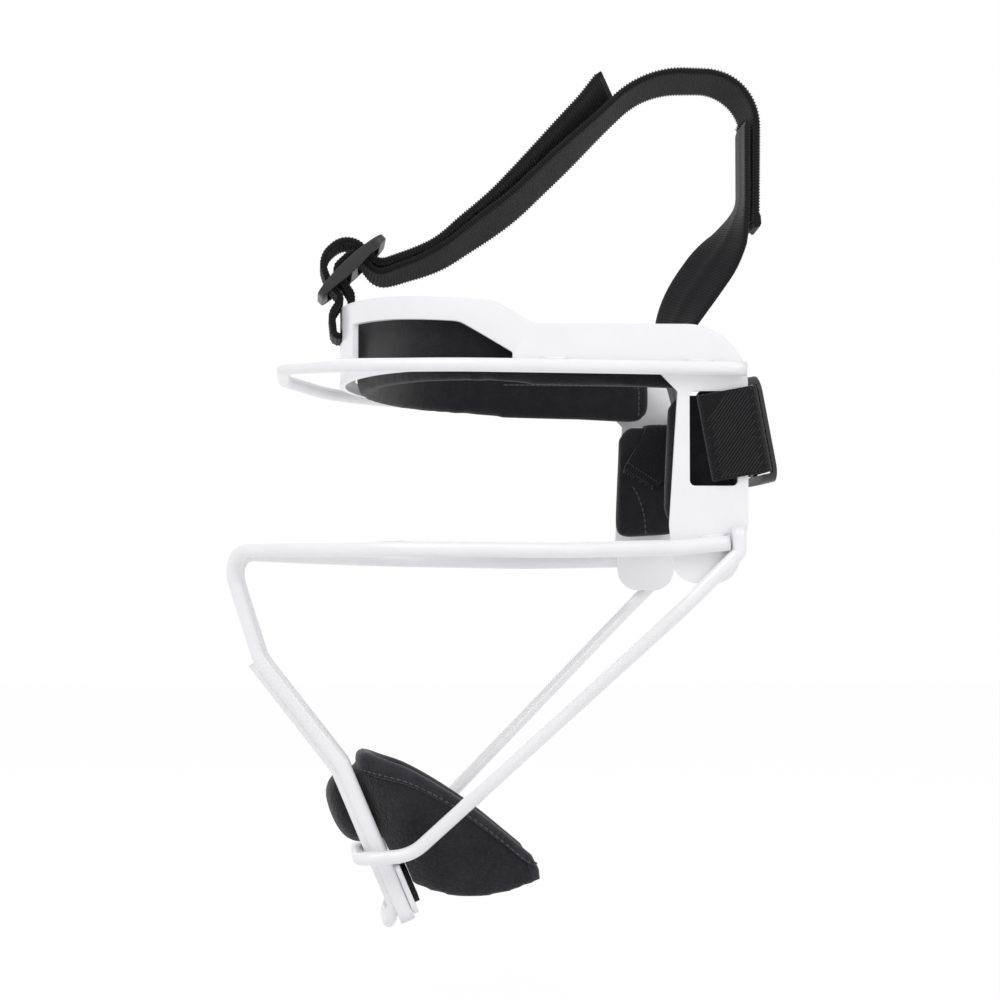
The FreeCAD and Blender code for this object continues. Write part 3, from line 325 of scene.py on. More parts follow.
def made_piece(work, name, material):
    """Turns a work mesh into an object, with its faces pointing outwards."""
    bmesh.ops.recalc_face_normals(work, faces=work.faces)
    mesh = bpy.data.meshes.new(name)
    work.to_mesh(mesh)
    work.free()
    return link_object(name, mesh, material)


def merged_copy(node, name, material, join_flats=True):
    """A copy of a CAD node with its corners merged and, on sheet and blocks, its flat areas joined."""
    work = bmesh.new()
    work.from_mesh(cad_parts[node].data)
    work.transform(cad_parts[node].matrix_world)
    bmesh.ops.remove_doubles(work, verts=work.verts, dist=0.000002)
    if join_flats:
        bmesh.ops.dissolve_limit(work, angle_limit=math.radians(0.6), verts=work.verts, edges=work.edges)
    return made_piece(work, name, material)


def soften_edges(piece, width, segments=3, angle=28.0):
    bevel = piece.modifiers.new("edge", "BEVEL")
    bevel.width = width
    bevel.segments = segments
    bevel.limit_method = "ANGLE"
    bevel.angle_limit = math.radians(angle)
    bevel.use_clamp_overlap = True
    bevel.harden_normals = False
    return smooth(baked(piece), 40.0)


def finish_piece(piece, body, slot, *nodes):
    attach(piece, body)
    if nodes:
        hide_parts(*nodes)
    return piece


# %% Painted frame
SHEET_EDGES = {"forehead_band": 0.0006, "chin_plate": 0.0005}
for node, width in SHEET_EDGES.items():
    piece = soften_edges(merged_copy(node, "painted_" + node, PAINT), width)
    finish_piece(piece, "frame", "white_paint", node)
    print(piece.name, len(piece.data.polygons), "faces")

# %% [markdown]
# A straight run of bar is only a ring of very long triangles. Smooth shading is uneven over them, so
# their long edges are cut again and again until no face is longer than about a bar is thick.

# %% Painted bars
LONGEST_EDGE = 0.006


def cut_long_edges(piece, longest):
    work = bmesh.new()
    work.from_mesh(piece.data)
    for _ in range(6):
        long_edges = [edge for edge in work.edges if edge.calc_length() > longest]
        if not long_edges:
            break
        bmesh.ops.subdivide_edges(work, edges=long_edges, cuts=1, use_grid_fill=True)
        bmesh.ops.triangulate(work, faces=[face for face in work.faces if len(face.verts) > 4])
    work.to_mesh(piece.data)
    work.free()
    return piece


for node in ("brow_bar", "cheek_bar_left", "cheek_bar_right", "front_loop", "jaw_bar", "weld_beads"):
    piece = cut_long_edges(merged_copy(node, "painted_" + node, PAINT, join_flats=False), LONGEST_EDGE)
    smooth(piece, 40.0)
    finish_piece(piece, "frame", "white_paint", node)
    print(piece.name, len(piece.data.polygons), "faces")

# %% [markdown]
# The sliders are moulded plastic with three bars. The side rails of the top one are leaf shaped:
# thick in the middle and thin at their ends, so its rails are stretched away from its flat plane.

# %% Moulded sliders
TOP_SLIDER_MIDDLE = Vector((0.0, -0.0092, 0.0330))
TOP_SLIDER_TILT = math.radians(43.3)
RAIL_START = 0.0126
RAIL_HALF_LENGTH = 0.0161


def swell_rails(piece):
    """Gives the top slider's two side rails the outline of a leaf."""
    along = Vector((0.0, math.cos(TOP_SLIDER_TILT), math.sin(TOP_SLIDER_TILT)))
    off = Vector((0.0, -math.sin(TOP_SLIDER_TILT), math.cos(TOP_SLIDER_TILT)))
    for vert in piece.data.vertices:
        away = vert.co - TOP_SLIDER_MIDDLE
        share = min(1.0, abs(away.dot(along)) / RAIL_HALF_LENGTH)
        height = away.dot(off)
        if abs(away.x) <= RAIL_START and share > 0.7:
            vert.co += off * (height * -0.4)
        elif abs(away.x) > RAIL_START:
            grown = 1.42 - 0.85 * share * share if height > 0 else 1.05 - 0.45 * share * share
            vert.co += off * (height * (grown - 1.0))


for node, body in (("top_slider", "top_adjuster"), ("rear_slider_left", "rear_adjuster_left"),
                   ("rear_slider_right", "rear_adjuster_right")):
    copy = merged_copy(node, "moulded_" + node, PLASTIC)
    if node == "top_slider":
        work = bmesh.new()
        work.from_mesh(copy.data)
        long_edges = [edge for edge in work.edges if edge.calc_length() > 0.006]
        bmesh.ops.subdivide_edges(work, edges=long_edges, cuts=5, use_grid_fill=True)
        work.to_mesh(copy.data)
        work.free()
        swell_rails(copy)
    piece = soften_edges(copy, 0.0010, segments=4)
    finish_piece(piece, body, "black_plastic", node)
    print(piece.name, len(piece.data.polygons), "faces")

# %% [markdown]
# Straps follow a line of straight runs and round bends. The line is drawn once, and a rounded
# section with soft selvedges is swept along it. A roll turns the section about the line, because
# real webbing never hangs quite square. A UV map in metres carries the weave round every bend.

# %% Sweeping a strap


def rounded_route(points, radii, step):
    """Points every step along the runs and round bends of a route, all in millimetres."""
    points = [Vector(point) for point in points]
    route = [points[0]]
    for before, corner, after, radius in zip(points, points[1:], points[2:], radii[1:]):
        back = (before - corner).normalized()
        ahead = (after - corner).normalized()
        half = back.angle(ahead) / 2
        reach = radius / math.tan(half)
        centre = corner + (back + ahead).normalized() * (radius / math.sin(half))
        first = corner + back * reach - centre
        last = corner + ahead * reach - centre
        steps = max(3, math.ceil(first.angle(last) * radius / (step / 2)))
        for index in range(steps + 1):
            spot = first.lerp(last, index / steps).normalized() * radius
            route.append(centre + spot)
    route.append(points[-1])
    even = [route[0]]
    for start, end in zip(route, route[1:]):
        pieces = max(1, round((end - start).length / step))
        even += [start.lerp(end, (index + 1) / pieces) for index in range(pieces)]
    tidy = [even[0]]
    for point in even[1:]:
        if (point - tidy[-1]).length > 0.02:
            tidy.append(point)
    return [point * MM for point in tidy]


def strap_section(width, thickness, across_steps=12, edge_steps=5):
    """Rounded section of a strap: (across, off) pairs round its outline, in metres."""
    radius = thickness / 2
    flat = width / 2 - radius
    top = [(flat - 2 * flat * index / across_steps, radius) for index in range(across_steps + 1)]
    turns = [math.pi * index / edge_steps for index in range(1, edge_steps)]
    left = [(-flat - radius * math.sin(turn), radius * math.cos(turn)) for turn in turns]
    below = [(-across, -off) for across, off in top]
    right = [(-across, -off) for across, off in left]
    return top + left + below + right


SEAM_HALF_WIDTH = 0.0015


def sweep_strap(name, route, across, width, thickness, material, roll=None, ridge=0.0):
    """A strap swept along a route. across gives its widthwise direction, roll turns it, in degrees,
    and ridge lifts a seam along its middle."""
    work = bmesh.new()
    weave = work.loops.layers.uv.new("weave")
    section = strap_section(width, thickness)
    rings = []
    travelled = [0.0]
    for start, end in zip(route, route[1:]):
        travelled.append(travelled[-1] + (end - start).length)
    total = travelled[-1]
    for index, point in enumerate(route):
        before = route[max(0, index - 1)]
        after = route[min(len(route) - 1, index + 1)]
        way = (after - before).normalized()
        wide = (across - way * across.dot(way)).normalized()
        if roll:
            wide.rotate(Matrix.Rotation(math.radians(roll(travelled[index])), 3, way))
        off = wide.cross(way)
        shrink = 1.0
        end_gap = min(travelled[index], total - travelled[index])
        if end_gap < thickness / 2:
            shrink = 0.45 + 0.55 * math.sqrt(max(0.0, 1 - (1 - 2 * end_gap / thickness) ** 2))
        ring = []
        for aside, height in section:
            seam = math.copysign(ridge, height) * math.exp(-(aside / SEAM_HALF_WIDTH) ** 2)
            ring.append(work.verts.new(point + wide * aside + off * shrink * (height + seam)))
        rings.append(ring)
    around = [0.0]
    for first, second in zip(section, section[1:] + section[:1]):
        around.append(around[-1] + math.dist(first, second))
    count = len(section)
    for ring, (first, second) in enumerate(zip(rings, rings[1:])):
        for index in range(count):
            on = (index + 1) % count
            face = work.faces.new((first[index], second[index], second[on], first[on]))
            spots = ((ring, index), (ring + 1, index), (ring + 1, index + 1), (ring, index + 1))
            for loop, (along, place) in zip(face.loops, spots):
                loop[weave].uv = (travelled[along], around[place])
    for ring in (rings[0][::-1], rings[-1]):
        face = work.faces.new(ring)
        for loop in face.loops:
            loop[weave].uv = (loop.vert.co.y, loop.vert.co.z)
    return smooth(made_piece(work, name, material), 60.0), total


# %% [markdown]
# The top strap starts at its hem behind the head, comes forward over the crown, loops round the
# slider's middle bar, passes through the slot in the band, and doubles back to its loose end.

# %% Top strap
TOP_ROUTE = [
    (139.80, 48.80), (139.80, 105.30), (100.00, 105.30), (50.02, 57.02), (22.51, 36.80), (0.72, 29.32),
    (-8.49, 39.10), (-15.33, 32.65), (-9.19, 22.88), (-9.19, 7.30), (-15.60, 7.30), (-16.45, 15.80),
    (-12.67, 21.59), (-17.28, 26.48), (-20.91, 36.39), (-10.25, 45.34), (0.47, 33.97), (20.61, 39.38),
    (46.88, 60.74), (86.45, 102.92)]
TOP_RADII = [0, 18.4, 34.5, 90.0, 62.0, 6.0, 2.53, 2.53, 2.53, 1.77, 1.77, 4.6, 2.53, 4.6, 7.7, 7.39, 6.0,
             46.0, 90.0, 0]
TOP_WIDTH = 0.024
TOP_THICKNESS = 0.0023


def eased(place, start, end):
    """Goes smoothly from 0 to 1 between start and end."""
    share = min(1.0, max(0.0, (place - start) / (end - start)))
    return share * share * (3 - 2 * share)


def read_table(rows, place, soft=False):
    """The value at a place among (place, value) rows, in straight or in soft steps."""
    if place <= rows[0][0]:
        return rows[0][1]
    for (start, low), (end, high) in zip(rows, rows[1:]):
        if place <= end:
            share = eased(place, start, end) if soft else (place - start) / (end - start)
            return low + share * (high - low)
    return rows[-1][1]


top_line = rounded_route([(0.0, y, z) for y, z in TOP_ROUTE], TOP_RADII, 2.0)
TOP_LENGTH = sum((end - start).length for start, end in zip(top_line, top_line[1:]))
TOP_ROLL_ROWS = [
    (0.000, 3.0), (0.040, 5.0), (0.060, 8.0), (0.085, 10.0), (0.105, 11.0), (0.135, 16.0), (0.165, 17.0),
    (0.185, 13.0), (0.205, 8.0), (0.222, 0.0), (TOP_LENGTH - 0.118, 0.0), (TOP_LENGTH - 0.093, -8.0),
    (TOP_LENGTH - 0.073, -13.0), (TOP_LENGTH - 0.050, -17.0), (TOP_LENGTH - 0.015, -20.0), (TOP_LENGTH, -26.0)]


def top_roll(place):
    return read_table(TOP_ROLL_ROWS, place, soft=True)


top_strap, length = sweep_strap("top_webbing", top_line, Vector((1, 0, 0)), TOP_WIDTH, TOP_THICKNESS, WEB,
                                roll=top_roll)
finish_piece(top_strap, "frame", "black_webbing", "top_strap")
print("top strap is", round(length, 3), "m long")

# %% [markdown]
# The end of real webbing is folded under and sewn, or it would fray. The fold could be one more bend
# of the strap's route, but a short second strap under the end gives the same step with far less care.

# %% Hem of the top strap
hem_line = rounded_route([(0.0, 141.6, 54.4), (0.0, 142.0, 49.4)], [0, 0], 1.0)
hem, length = sweep_strap("top_webbing_hem", hem_line, Vector((1, 0, 0)), 0.0236, 0.0021, WEB,
                          roll=lambda place: 3.0)
finish_piece(hem, "frame", "black_webbing")

# %% [markdown]
# The rear strap is ribbed elastic. It comes out of the slot in each temple plate, turns behind the
# head and is doubled through a slider at each side. The whole strap leans back ten and a half degrees.

# %% Rear strap
REAR_LEAN = math.radians(10.5)
REAR_ACROSS = Vector((0.0, -math.sin(REAR_LEAN), math.cos(REAR_LEAN)))
REAR_PIVOT = Vector((0.0, 111.0, -34.8))
REAR_MIDDLE = 117.5
REAR_CROWN = 0.643
REAR_ROUTE = [(81.24, 128.20), (80.49, 111.00), (84.69, 111.00), (85.56, 131.00), (0.0, REAR_MIDDLE)]
REAR_RADII = [0, 1.77, 1.77, 3.2, 52.0]
REAR_WIDTH = 0.030
REAR_THICKNESS = 0.0016


def rear_place(x, y, z=0.0):
    """A point of the rear strap's own flat plan, leaned back into the mask's frame, in millimetres."""
    off = y - REAR_PIVOT.y
    turned = Vector((0.0, off * math.cos(REAR_LEAN) - z * math.sin(REAR_LEAN),
                     off * math.sin(REAR_LEAN) + z * math.cos(REAR_LEAN)))
    return REAR_PIVOT + turned + Vector((x, 0.0, 0.0))


rear_corners = [rear_place(x, y) for x, y in REAR_ROUTE]
rear_corners += [Vector((-point.x, point.y, point.z)) for point in reversed(rear_corners[:-1])]
rear_line = rounded_route(rear_corners, REAR_RADII + REAR_RADII[-2::-1], 2.0)
rear_strap, length = sweep_strap("rear_elastic", rear_line, REAR_ACROSS, REAR_WIDTH, REAR_THICKNESS, ELASTIC)
finish_piece(rear_strap, "frame", "black_webbing", "rear_strap")
print("rear strap is", round(length, 3), "m long")

# %% [markdown]
# Elastic shows slanting ribs of covered rubber. Geometry Nodes lay them out flat first, X along the
# strap and Y across it, and then carry every point to the strap's line, so the ribs follow each bend.

# %% Trees for ribs, stitches and frayed threads


def grown(name, tree, source, body, slot, **values):
    """Runs a Geometry Nodes tree on a source mesh and keeps the result as a plain mesh piece."""
    holder = bpy.data.objects.new(name, source)
    scene.collection.objects.link(holder)
    maker = holder.modifiers.new("grow", "NODES")
    maker.node_group = tree
    for item in tree.interface.items_tree:
        if item.in_out == "INPUT" and item.name in values:
            maker[item.identifier] = values[item.name]
    baked(holder)
    smooth(holder)
    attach(holder, body)
    return holder


def line_mesh(name, *lines, across=None):
    """Loose chains of edges, one for each line of points in metres, with the way across at each point."""
    mesh = bpy.data.meshes.new(name)
    points, edges = [], []
    for line in lines:
        edges += [(len(points) + index, len(points) + index + 1) for index in range(len(line) - 1)]
        points += [tuple(point) for point in line]
    mesh.from_pydata(points, edges, [])
    if across:
        ways = mesh.attributes.new("across", "FLOAT_VECTOR", "POINT")
        ways.data.foreach_set("vector", [value for way in across for value in way])
    return mesh


def vector_math(tree, operation, first, second, output=0):
    node = add(tree, "ShaderNodeVectorMath", {0: first, 1: second}, operation=operation)
    return node.outputs[output]


def scaled(tree, vector, scale):
    node = add(tree, "ShaderNodeVectorMath", {0: vector, "Scale": scale}, operation="SCALE")
    return node.outputs[0]


def combine(tree, x=0.0, y=0.0, z=0.0):
    return add(tree, "ShaderNodeCombineXYZ", {0: x, 1: y, 2: z}).outputs[0]


def finish_tree(tree, geometry, material, out):
    """Every tree ends in real geometry with its material."""
    real = add(tree, "GeometryNodeRealizeInstances", {0: geometry}).outputs[0]
    dressed = add(tree, "GeometryNodeSetMaterial", {"Geometry": real, "Material": material}).outputs[0]
    tree.links.new(dressed, out["Geometry"])


def rib_tree():
    tree, given, out = open_group(
        "slanting_ribs", "GeometryNodeTree",
        [("Geometry", "NodeSocketGeometry", None), ("Width", "NodeSocketFloat", 0.029),
         ("Thickness", "NodeSocketFloat", 0.0016), ("Pitch", "NodeSocketFloat", 0.0016),
         ("Slant", "NodeSocketFloat", 1.0), ("Yarn", "NodeSocketFloat", 0.0003),
         ("Points", "NodeSocketInt", 3), ("Material", "NodeSocketMaterial", None)],
        [("Geometry", "NodeSocketGeometry")])
    route = add(tree, "GeometryNodeMeshToCurve", {"Mesh": given["Geometry"]}).outputs[0]
    length = add(tree, "GeometryNodeCurveLength", {0: route}).outputs[0]
    half = calculate(tree, "MULTIPLY", given["Width"], 0.5)
    margin = calculate(tree, "MULTIPLY_ADD", half, given["Slant"], 0.001)
    room = calculate(tree, "MULTIPLY_ADD", margin, -2.0, length)
    count = calculate(tree, "FLOOR", calculate(tree, "DIVIDE", room, given["Pitch"]))
    places = add(tree, "GeometryNodeMeshLine", {
        "Count": count, "Start Location": combine(tree, x=margin),
        "Offset": combine(tree, x=given["Pitch"])}, mode="OFFSET").outputs[0]
    rib = add(tree, "GeometryNodeCurvePrimitiveLine", {
        "Start": combine(tree, y=calculate(tree, "MULTIPLY", half, -1.0)),
        "End": combine(tree, y=half)}).outputs[0]
    rib = add(tree, "GeometryNodeResampleCurve", {"Curve": rib, "Count": given["Points"]}).outputs[0]
    laid = add(tree, "GeometryNodeInstanceOnPoints", {"Points": places, "Instance": rib}).outputs[0]
    laid = add(tree, "GeometryNodeRealizeInstances", {0: laid}).outputs[0]
    rise = calculate(tree, "MULTIPLY", given["Thickness"], 0.5)
    both = add(tree, "GeometryNodeJoinGeometry")
    for side in (1.0, -1.0):
        shift = combine(tree, z=calculate(tree, "MULTIPLY", rise, side))
        layer = add(tree, "GeometryNodeTransform", {"Geometry": laid, "Translation": shift})
        tree.links.new(layer.outputs[0], both.inputs[0])
    flat = add(tree, "ShaderNodeSeparateXYZ", {0: add(tree, "GeometryNodeInputPosition").outputs[0]}).outputs
    along = calculate(tree, "MULTIPLY_ADD", flat["Y"], given["Slant"], flat["X"])
    across = add(tree, "GeometryNodeInputNamedAttribute", {"Name": "across"}, data_type="FLOAT_VECTOR").outputs[0]
    spot = add(tree, "GeometryNodeSampleCurve", {"Curves": route, "Value": across, "Length": along},
               data_type="FLOAT_VECTOR", mode="LENGTH", use_all_curves=True).outputs
    across = vector_math(tree, "NORMALIZE", spot["Value"], (0.0, 0.0, 0.0))
    off = vector_math(tree, "CROSS_PRODUCT", across, spot["Tangent"])
    moved = vector_math(tree, "ADD", spot["Position"], scaled(tree, across, flat["Y"]))
    moved = vector_math(tree, "ADD", moved, scaled(tree, off, flat["Z"]))
    carried = add(tree, "GeometryNodeSetPosition", {"Geometry": both.outputs[0], "Position": moved}).outputs[0]
    section = add(tree, "GeometryNodeCurvePrimitiveCircle", {"Resolution": 5, "Radius": given["Yarn"]}).outputs[0]
    yarn = add(tree, "GeometryNodeCurveToMesh", {"Curve": carried, "Profile Curve": section,
                                                 "Fill Caps": True}).outputs[0]
    finish_tree(tree, yarn, given["Material"], out)
    return tree


def stitch_tree():
    tree, given, out = open_group(
        "row_of_stitches", "GeometryNodeTree",
        [("Geometry", "NodeSocketGeometry", None), ("Pitch", "NodeSocketFloat", 0.003),
         ("Length", "NodeSocketFloat", 0.0022), ("Radius", "NodeSocketFloat", 0.00035),
         ("Material", "NodeSocketMaterial", None)],
        [("Geometry", "NodeSocketGeometry")])
    seam = add(tree, "GeometryNodeMeshToCurve", {"Mesh": given["Geometry"]}).outputs[0]
    places = add(tree, "GeometryNodeCurveToPoints", {"Curve": seam, "Length": given["Pitch"]}, mode="LENGTH")
    stitch = add(tree, "GeometryNodeMeshUVSphere", {"Segments": 6, "Rings": 5, "Radius": 1.0}).outputs[0]
    half = calculate(tree, "MULTIPLY", given["Length"], 0.5)
    stitch = add(tree, "GeometryNodeTransform", {
        "Geometry": stitch, "Scale": combine(tree, half, given["Radius"], given["Radius"])}).outputs[0]
    turn = add(tree, "FunctionNodeAlignRotationToVector", {"Vector": places.outputs["Tangent"]},
               axis="X").outputs[0]
    row = add(tree, "GeometryNodeInstanceOnPoints", {
        "Points": places.outputs["Points"], "Instance": stitch, "Rotation": turn}).outputs[0]
    finish_tree(tree, row, given["Material"], out)
    return tree


def fray_tree():
    tree, given, out = open_group(
        "frayed_threads", "GeometryNodeTree",
        [("Geometry", "NodeSocketGeometry", None), ("Pitch", "NodeSocketFloat", 0.0006),
         ("Length", "NodeSocketFloat", 0.0015), ("Radius", "NodeSocketFloat", 0.00012),
         ("Spread", "NodeSocketFloat", 0.5), ("Way", "NodeSocketVector", None),
         ("Seed", "NodeSocketInt", 7), ("Material", "NodeSocketMaterial", None)],
        [("Geometry", "NodeSocketGeometry")])
    edge = add(tree, "GeometryNodeMeshToCurve", {"Mesh": given["Geometry"]}).outputs[0]
    places = add(tree, "GeometryNodeCurveToPoints", {"Curve": edge, "Length": given["Pitch"]}, mode="LENGTH")
    thread = add(tree, "GeometryNodeMeshCone", {
        "Vertices": 4, "Side Segments": 1, "Fill Segments": 1,
        "Radius Top": calculate(tree, "MULTIPLY", given["Radius"], 0.5), "Radius Bottom": given["Radius"],
        "Depth": given["Length"]}).outputs["Mesh"]
    wild = add(tree, "FunctionNodeRandomValue", {"Seed": given["Seed"]}, data_type="FLOAT_VECTOR")
    wild.inputs["Min"].default_value = (-1.0, -1.0, -1.0)
    wild.inputs["Max"].default_value = (1.0, 1.0, 1.0)
    way = vector_math(tree, "ADD", given["Way"], scaled(tree, wild.outputs["Value"], given["Spread"]))
    turn = add(tree, "FunctionNodeAlignRotationToVector", {"Vector": way}, axis="Z").outputs[0]
    size = add(tree, "FunctionNodeRandomValue", {"Seed": given["Seed"], "Min": 0.5, "Max": 1.3}, data_type="FLOAT")
    row = add(tree, "GeometryNodeInstanceOnPoints", {
        "Points": places.outputs["Points"], "Instance": thread, "Rotation": turn,
        "Scale": size.outputs[1]}).outputs[0]
    finish_tree(tree, row, given["Material"], out)
    return tree


STRAP_STITCH = {"Pitch": 0.0026, "Length": 0.0021, "Radius": 0.0003, "Material": THREAD}
CUSHION_STITCH = {"Pitch": 0.0021, "Length": 0.0019, "Radius": 0.00035, "Material": THREAD}
RIB_ROWS = rib_tree()
STITCH_ROWS = stitch_tree()
FRAY_ROWS = fray_tree()

# %% Ribs of the rear strap


def ways_across(line, across, roll=None):
    """The widthwise direction at each point of a strap's line, as its sweep turns it."""
    ways, travelled = [], 0.0
    for index, point in enumerate(line):
        before, after = line[max(0, index - 1)], line[min(len(line) - 1, index + 1)]
        if index:
            travelled += (point - before).length
        way = (after - before).normalized()
        wide = (across - way * across.dot(way)).normalized()
        if roll:
            wide.rotate(Matrix.Rotation(math.radians(roll(travelled)), 3, way))
        ways.append(wide)
    return ways


ribs = grown("rear_elastic_ribs", RIB_ROWS,
             line_mesh("rear_rib_line", rear_line, across=ways_across(rear_line, REAR_ACROSS)),
             "frame", "black_webbing", Width=REAR_WIDTH - 0.0014, Thickness=REAR_THICKNESS, Pitch=0.0013,
             Slant=1.0, Yarn=0.00024, Points=11, Material=RIB_YARN)
print("elastic ribs:", len(ribs.data.polygons), "faces")
ribs = grown("top_webbing_ribs", RIB_ROWS,
             line_mesh("top_rib_line", top_line, across=ways_across(top_line, Vector((1, 0, 0)), top_roll)),
             "frame", "black_webbing", Width=TOP_WIDTH - 0.0006, Thickness=TOP_THICKNESS - 0.0002, Pitch=0.0011,
             Slant=0.0, Yarn=0.00028, Points=3, Material=WEB_YARN)
print("webbing ribs:", len(ribs.data.polygons), "faces")

# %% [markdown]
# The elastic comes forward out of each slot, folds over the plate and hangs down, cut off on a slant.
# A plain sweep can't follow a slanted cut, so the front and rear edges are read from two short tables
# of depth and place, and each ring of the strap is as wide as they leave it.

# %% Loose ends of the rear strap
SIDE_SLOPE = math.radians(2.5)


def side_place(along, inward, z):
    """Frame of the left temple plate: along runs rearward from its rear edge, in millimetres."""
    corner = Vector((84.2, 125.0, 0.0))
    rearward = Vector((math.sin(SIDE_SLOPE), math.cos(SIDE_SLOPE), 0.0))
    across = Vector((-math.cos(SIDE_SLOPE), math.sin(SIDE_SLOPE), 0.0))
    return corner + rearward * along + across * inward + Vector((0.0, 0.0, z))


TAIL_FRONT = [(17.4, -16.0), (24.4, -18.5), (35.7, -25.7), (43.5, -13.3)]
TAIL_REAR = [(17.4, -3.4), (30.9, -3.9), (39.6, -7.8), (43.5, -13.3)]
TAIL_LINE = [(6.3, -19.0), (14.4, -19.0), (14.4, -43.2)]


def to_side(sign, point):
    """The point itself for the left side, its mirror image for the right side."""
    return Vector((sign * point.x, point.y, point.z))


def tail_point(sign, along, inward, z):
    return to_side(sign, side_place(along, inward, z)) * MM


def tail_row(sign, start, run, off):
    """Nine points along the slanted cut, from its start over its run, both as (along, level)."""
    return [tail_point(sign, start[0] + run[0] * step / 8, off, start[1] + run[1] * step / 8)
            for step in range(9)]


for sign, side in ((1, "left"), (-1, "right")):
    line = rounded_route([(0.0, inward, z) for inward, z in TAIL_LINE], [0, 1.6, 0], 0.8)
    line = [point / MM for point in line]
    work = bmesh.new()
    weave = work.loops.layers.uv.new("weave")
    rings = []
    for index, point in enumerate(line):
        way = (line[min(index + 1, len(line) - 1)] - line[max(index - 1, 0)]).normalized()
        off = Vector((0.0, way.z, -way.y))
        front, rear = read_table(TAIL_FRONT, -point.z), read_table(TAIL_REAR, -point.z)
        middle, half = (front + rear) / 2, max(0.5, (rear - front) / 2)
        ring = []
        for aside, height in strap_section(2 * half, 1.6, across_steps=8, edge_steps=4):
            curl = 0.5 * math.sin(math.pi * index / (len(line) - 1)) * (aside / half) ** 2
            spot = point + off * (height + curl)
            ring.append(work.verts.new(tail_point(sign, middle + aside, spot.y, spot.z)))
        rings.append(ring)
    for number, (first, second) in enumerate(zip(rings, rings[1:])):
        for index in range(len(first)):
            on = (index + 1) % len(first)
            face = work.faces.new((first[index], second[index], second[on], first[on]))
            for loop in face.loops:
                loop[weave].uv = (loop.vert.co.y, loop.vert.co.z)
    work.faces.new(rings[0][::-1])
    work.faces.new(rings[-1])
    tail = smooth(made_piece(work, "elastic_tail_" + side, TAIL_ELASTIC), 60.0)
    finish_piece(tail, "frame", "black_webbing", "rear_tail_" + side)
    cut = tail_row(sign, (-25.4, -35.9), (11.9, -7.4), 13.9)
    fray = grown("elastic_fray_" + side, FRAY_ROWS, line_mesh("cut_" + side, cut), "frame", "black_webbing",
                 Pitch=0.0005, Length=0.0016, Radius=0.00013, Spread=0.5, Way=(0.0, -0.4, -1.0), Seed=5,
                 Material=THREAD)
    inner = tail_row(sign, (-23.6, -34.0), (11.0, -6.9), 15.25)
    row = grown("elastic_end_stitches_" + side, STITCH_ROWS, line_mesh("end_row_" + side, inner), "frame",
                "black_webbing", Pitch=0.0011, Length=0.0007, Radius=0.00022, Material=THREAD)
    print(tail.name, len(tail.data.polygons), "faces,", len(fray.data.polygons), "in its fray")

# %% [markdown]
# The riser is a soft knit strip. It is sewn under the top strap's hem and to the middle of the
# rear strap, and it rolls half over on its way, so the side view shows its face in the middle.

# %% Riser
RISER_TOP = Vector((0.0, 137.25, 88.8))
RISER_FOOT = 15.0
SEWN_GAP = 0.3
SEWN_FACE = REAR_MIDDLE + REAR_CROWN - 0.8 - SEWN_GAP


def riser_rings(steps):
    """Middle and roll of the riser from its top to its lower end, in millimetres and degrees."""
    seam = rear_place(0.0, SEWN_FACE - 1.1)
    height = RISER_TOP.z - (seam.z - RISER_FOOT * math.cos(REAR_LEAN))
    rows = []
    for index in range(steps + 1):
        down = index / steps
        forward = eased(down, 0.20, 0.66)
        roll = 43.0 * eased(down, 0.19, 0.40) * (1.0 - eased(down, 0.43, 0.76))
        z = RISER_TOP.z - down * height
        sewn = seam.y + (seam.z - z) * math.tan(REAR_LEAN)
        y = RISER_TOP.y - max(forward * (RISER_TOP.y - sewn), 12.0 * math.sin(math.radians(roll)))
        rows.append((Vector((0.0, y, z)), roll))
    return rows


riser_rows = riser_rings(64)
riser_travel = [0.0]
for (start, _), (end, _) in zip(riser_rows, riser_rows[1:]):
    riser_travel.append(riser_travel[-1] + (end - start).length * MM)


def riser_roll(place):
    for index, travelled in enumerate(riser_travel):
        if travelled >= place - 1e-7:
            return -riser_rows[index][1]
    return 0.0


riser, length = sweep_strap("riser_knit", [point * MM for point, _ in riser_rows], Vector((1, 0, 0)), 0.024,
                            0.0022, RISER_KNIT, roll=riser_roll, ridge=0.00045)
finish_piece(riser, "frame", "black_knit", "riser_strap")
print("riser is", round(length, 3), "m long")

# %% [markdown]
# Thread holds the straps together, in rows of long stitches, and the cut end of the knit shows a
# fringe. Both repeat along a line, so the line is all that is drawn and the trees do the rest.

# %% Sewing of the riser and the strap hem
hem_seam = [Vector((0.0098 * (step / 8 - 1), 0.14105, 0.0575)) for step in range(17)]
hem_row = grown("hem_stitches", STITCH_ROWS, line_mesh("hem_seam", hem_seam), "frame", "black_webbing",
                **STRAP_STITCH)
top_edge = [Vector((-0.0115 + 0.023 * step / 12, RISER_TOP.y * MM, RISER_TOP.z * MM)) for step in range(13)]
riser_fray = grown("riser_fray", FRAY_ROWS, line_mesh("riser_top", top_edge), "frame", "black_knit",
                   Pitch=0.0004, Length=0.0014, Radius=0.00016, Spread=0.6, Way=(0.0, -0.5, 1.0), Seed=3,
                   Material=RIB_YARN)
sewn = rear_place(0.0, SEWN_FACE - 2.45) * MM
lower_seams = [[sewn + REAR_ACROSS * level + Vector((0.010 * (step / 4 - 1), 0.0, 0.0)) for step in range(9)]
               for level in (-0.0105, 0.0105)]
riser_row = grown("riser_stitches", STITCH_ROWS, line_mesh("riser_seams", *lower_seams), "frame", "black_knit",
                  **STRAP_STITCH)
print("stitches:", len(hem_row.data.polygons) + len(riser_row.data.polygons), "faces")

# %% [markdown]
# A cushion starts as a closed loft of rounded rings. Voxel remeshing gives it even faces, and a
# short cloth simulation with inner pressure swells the cover. A cap holds each point near its start.

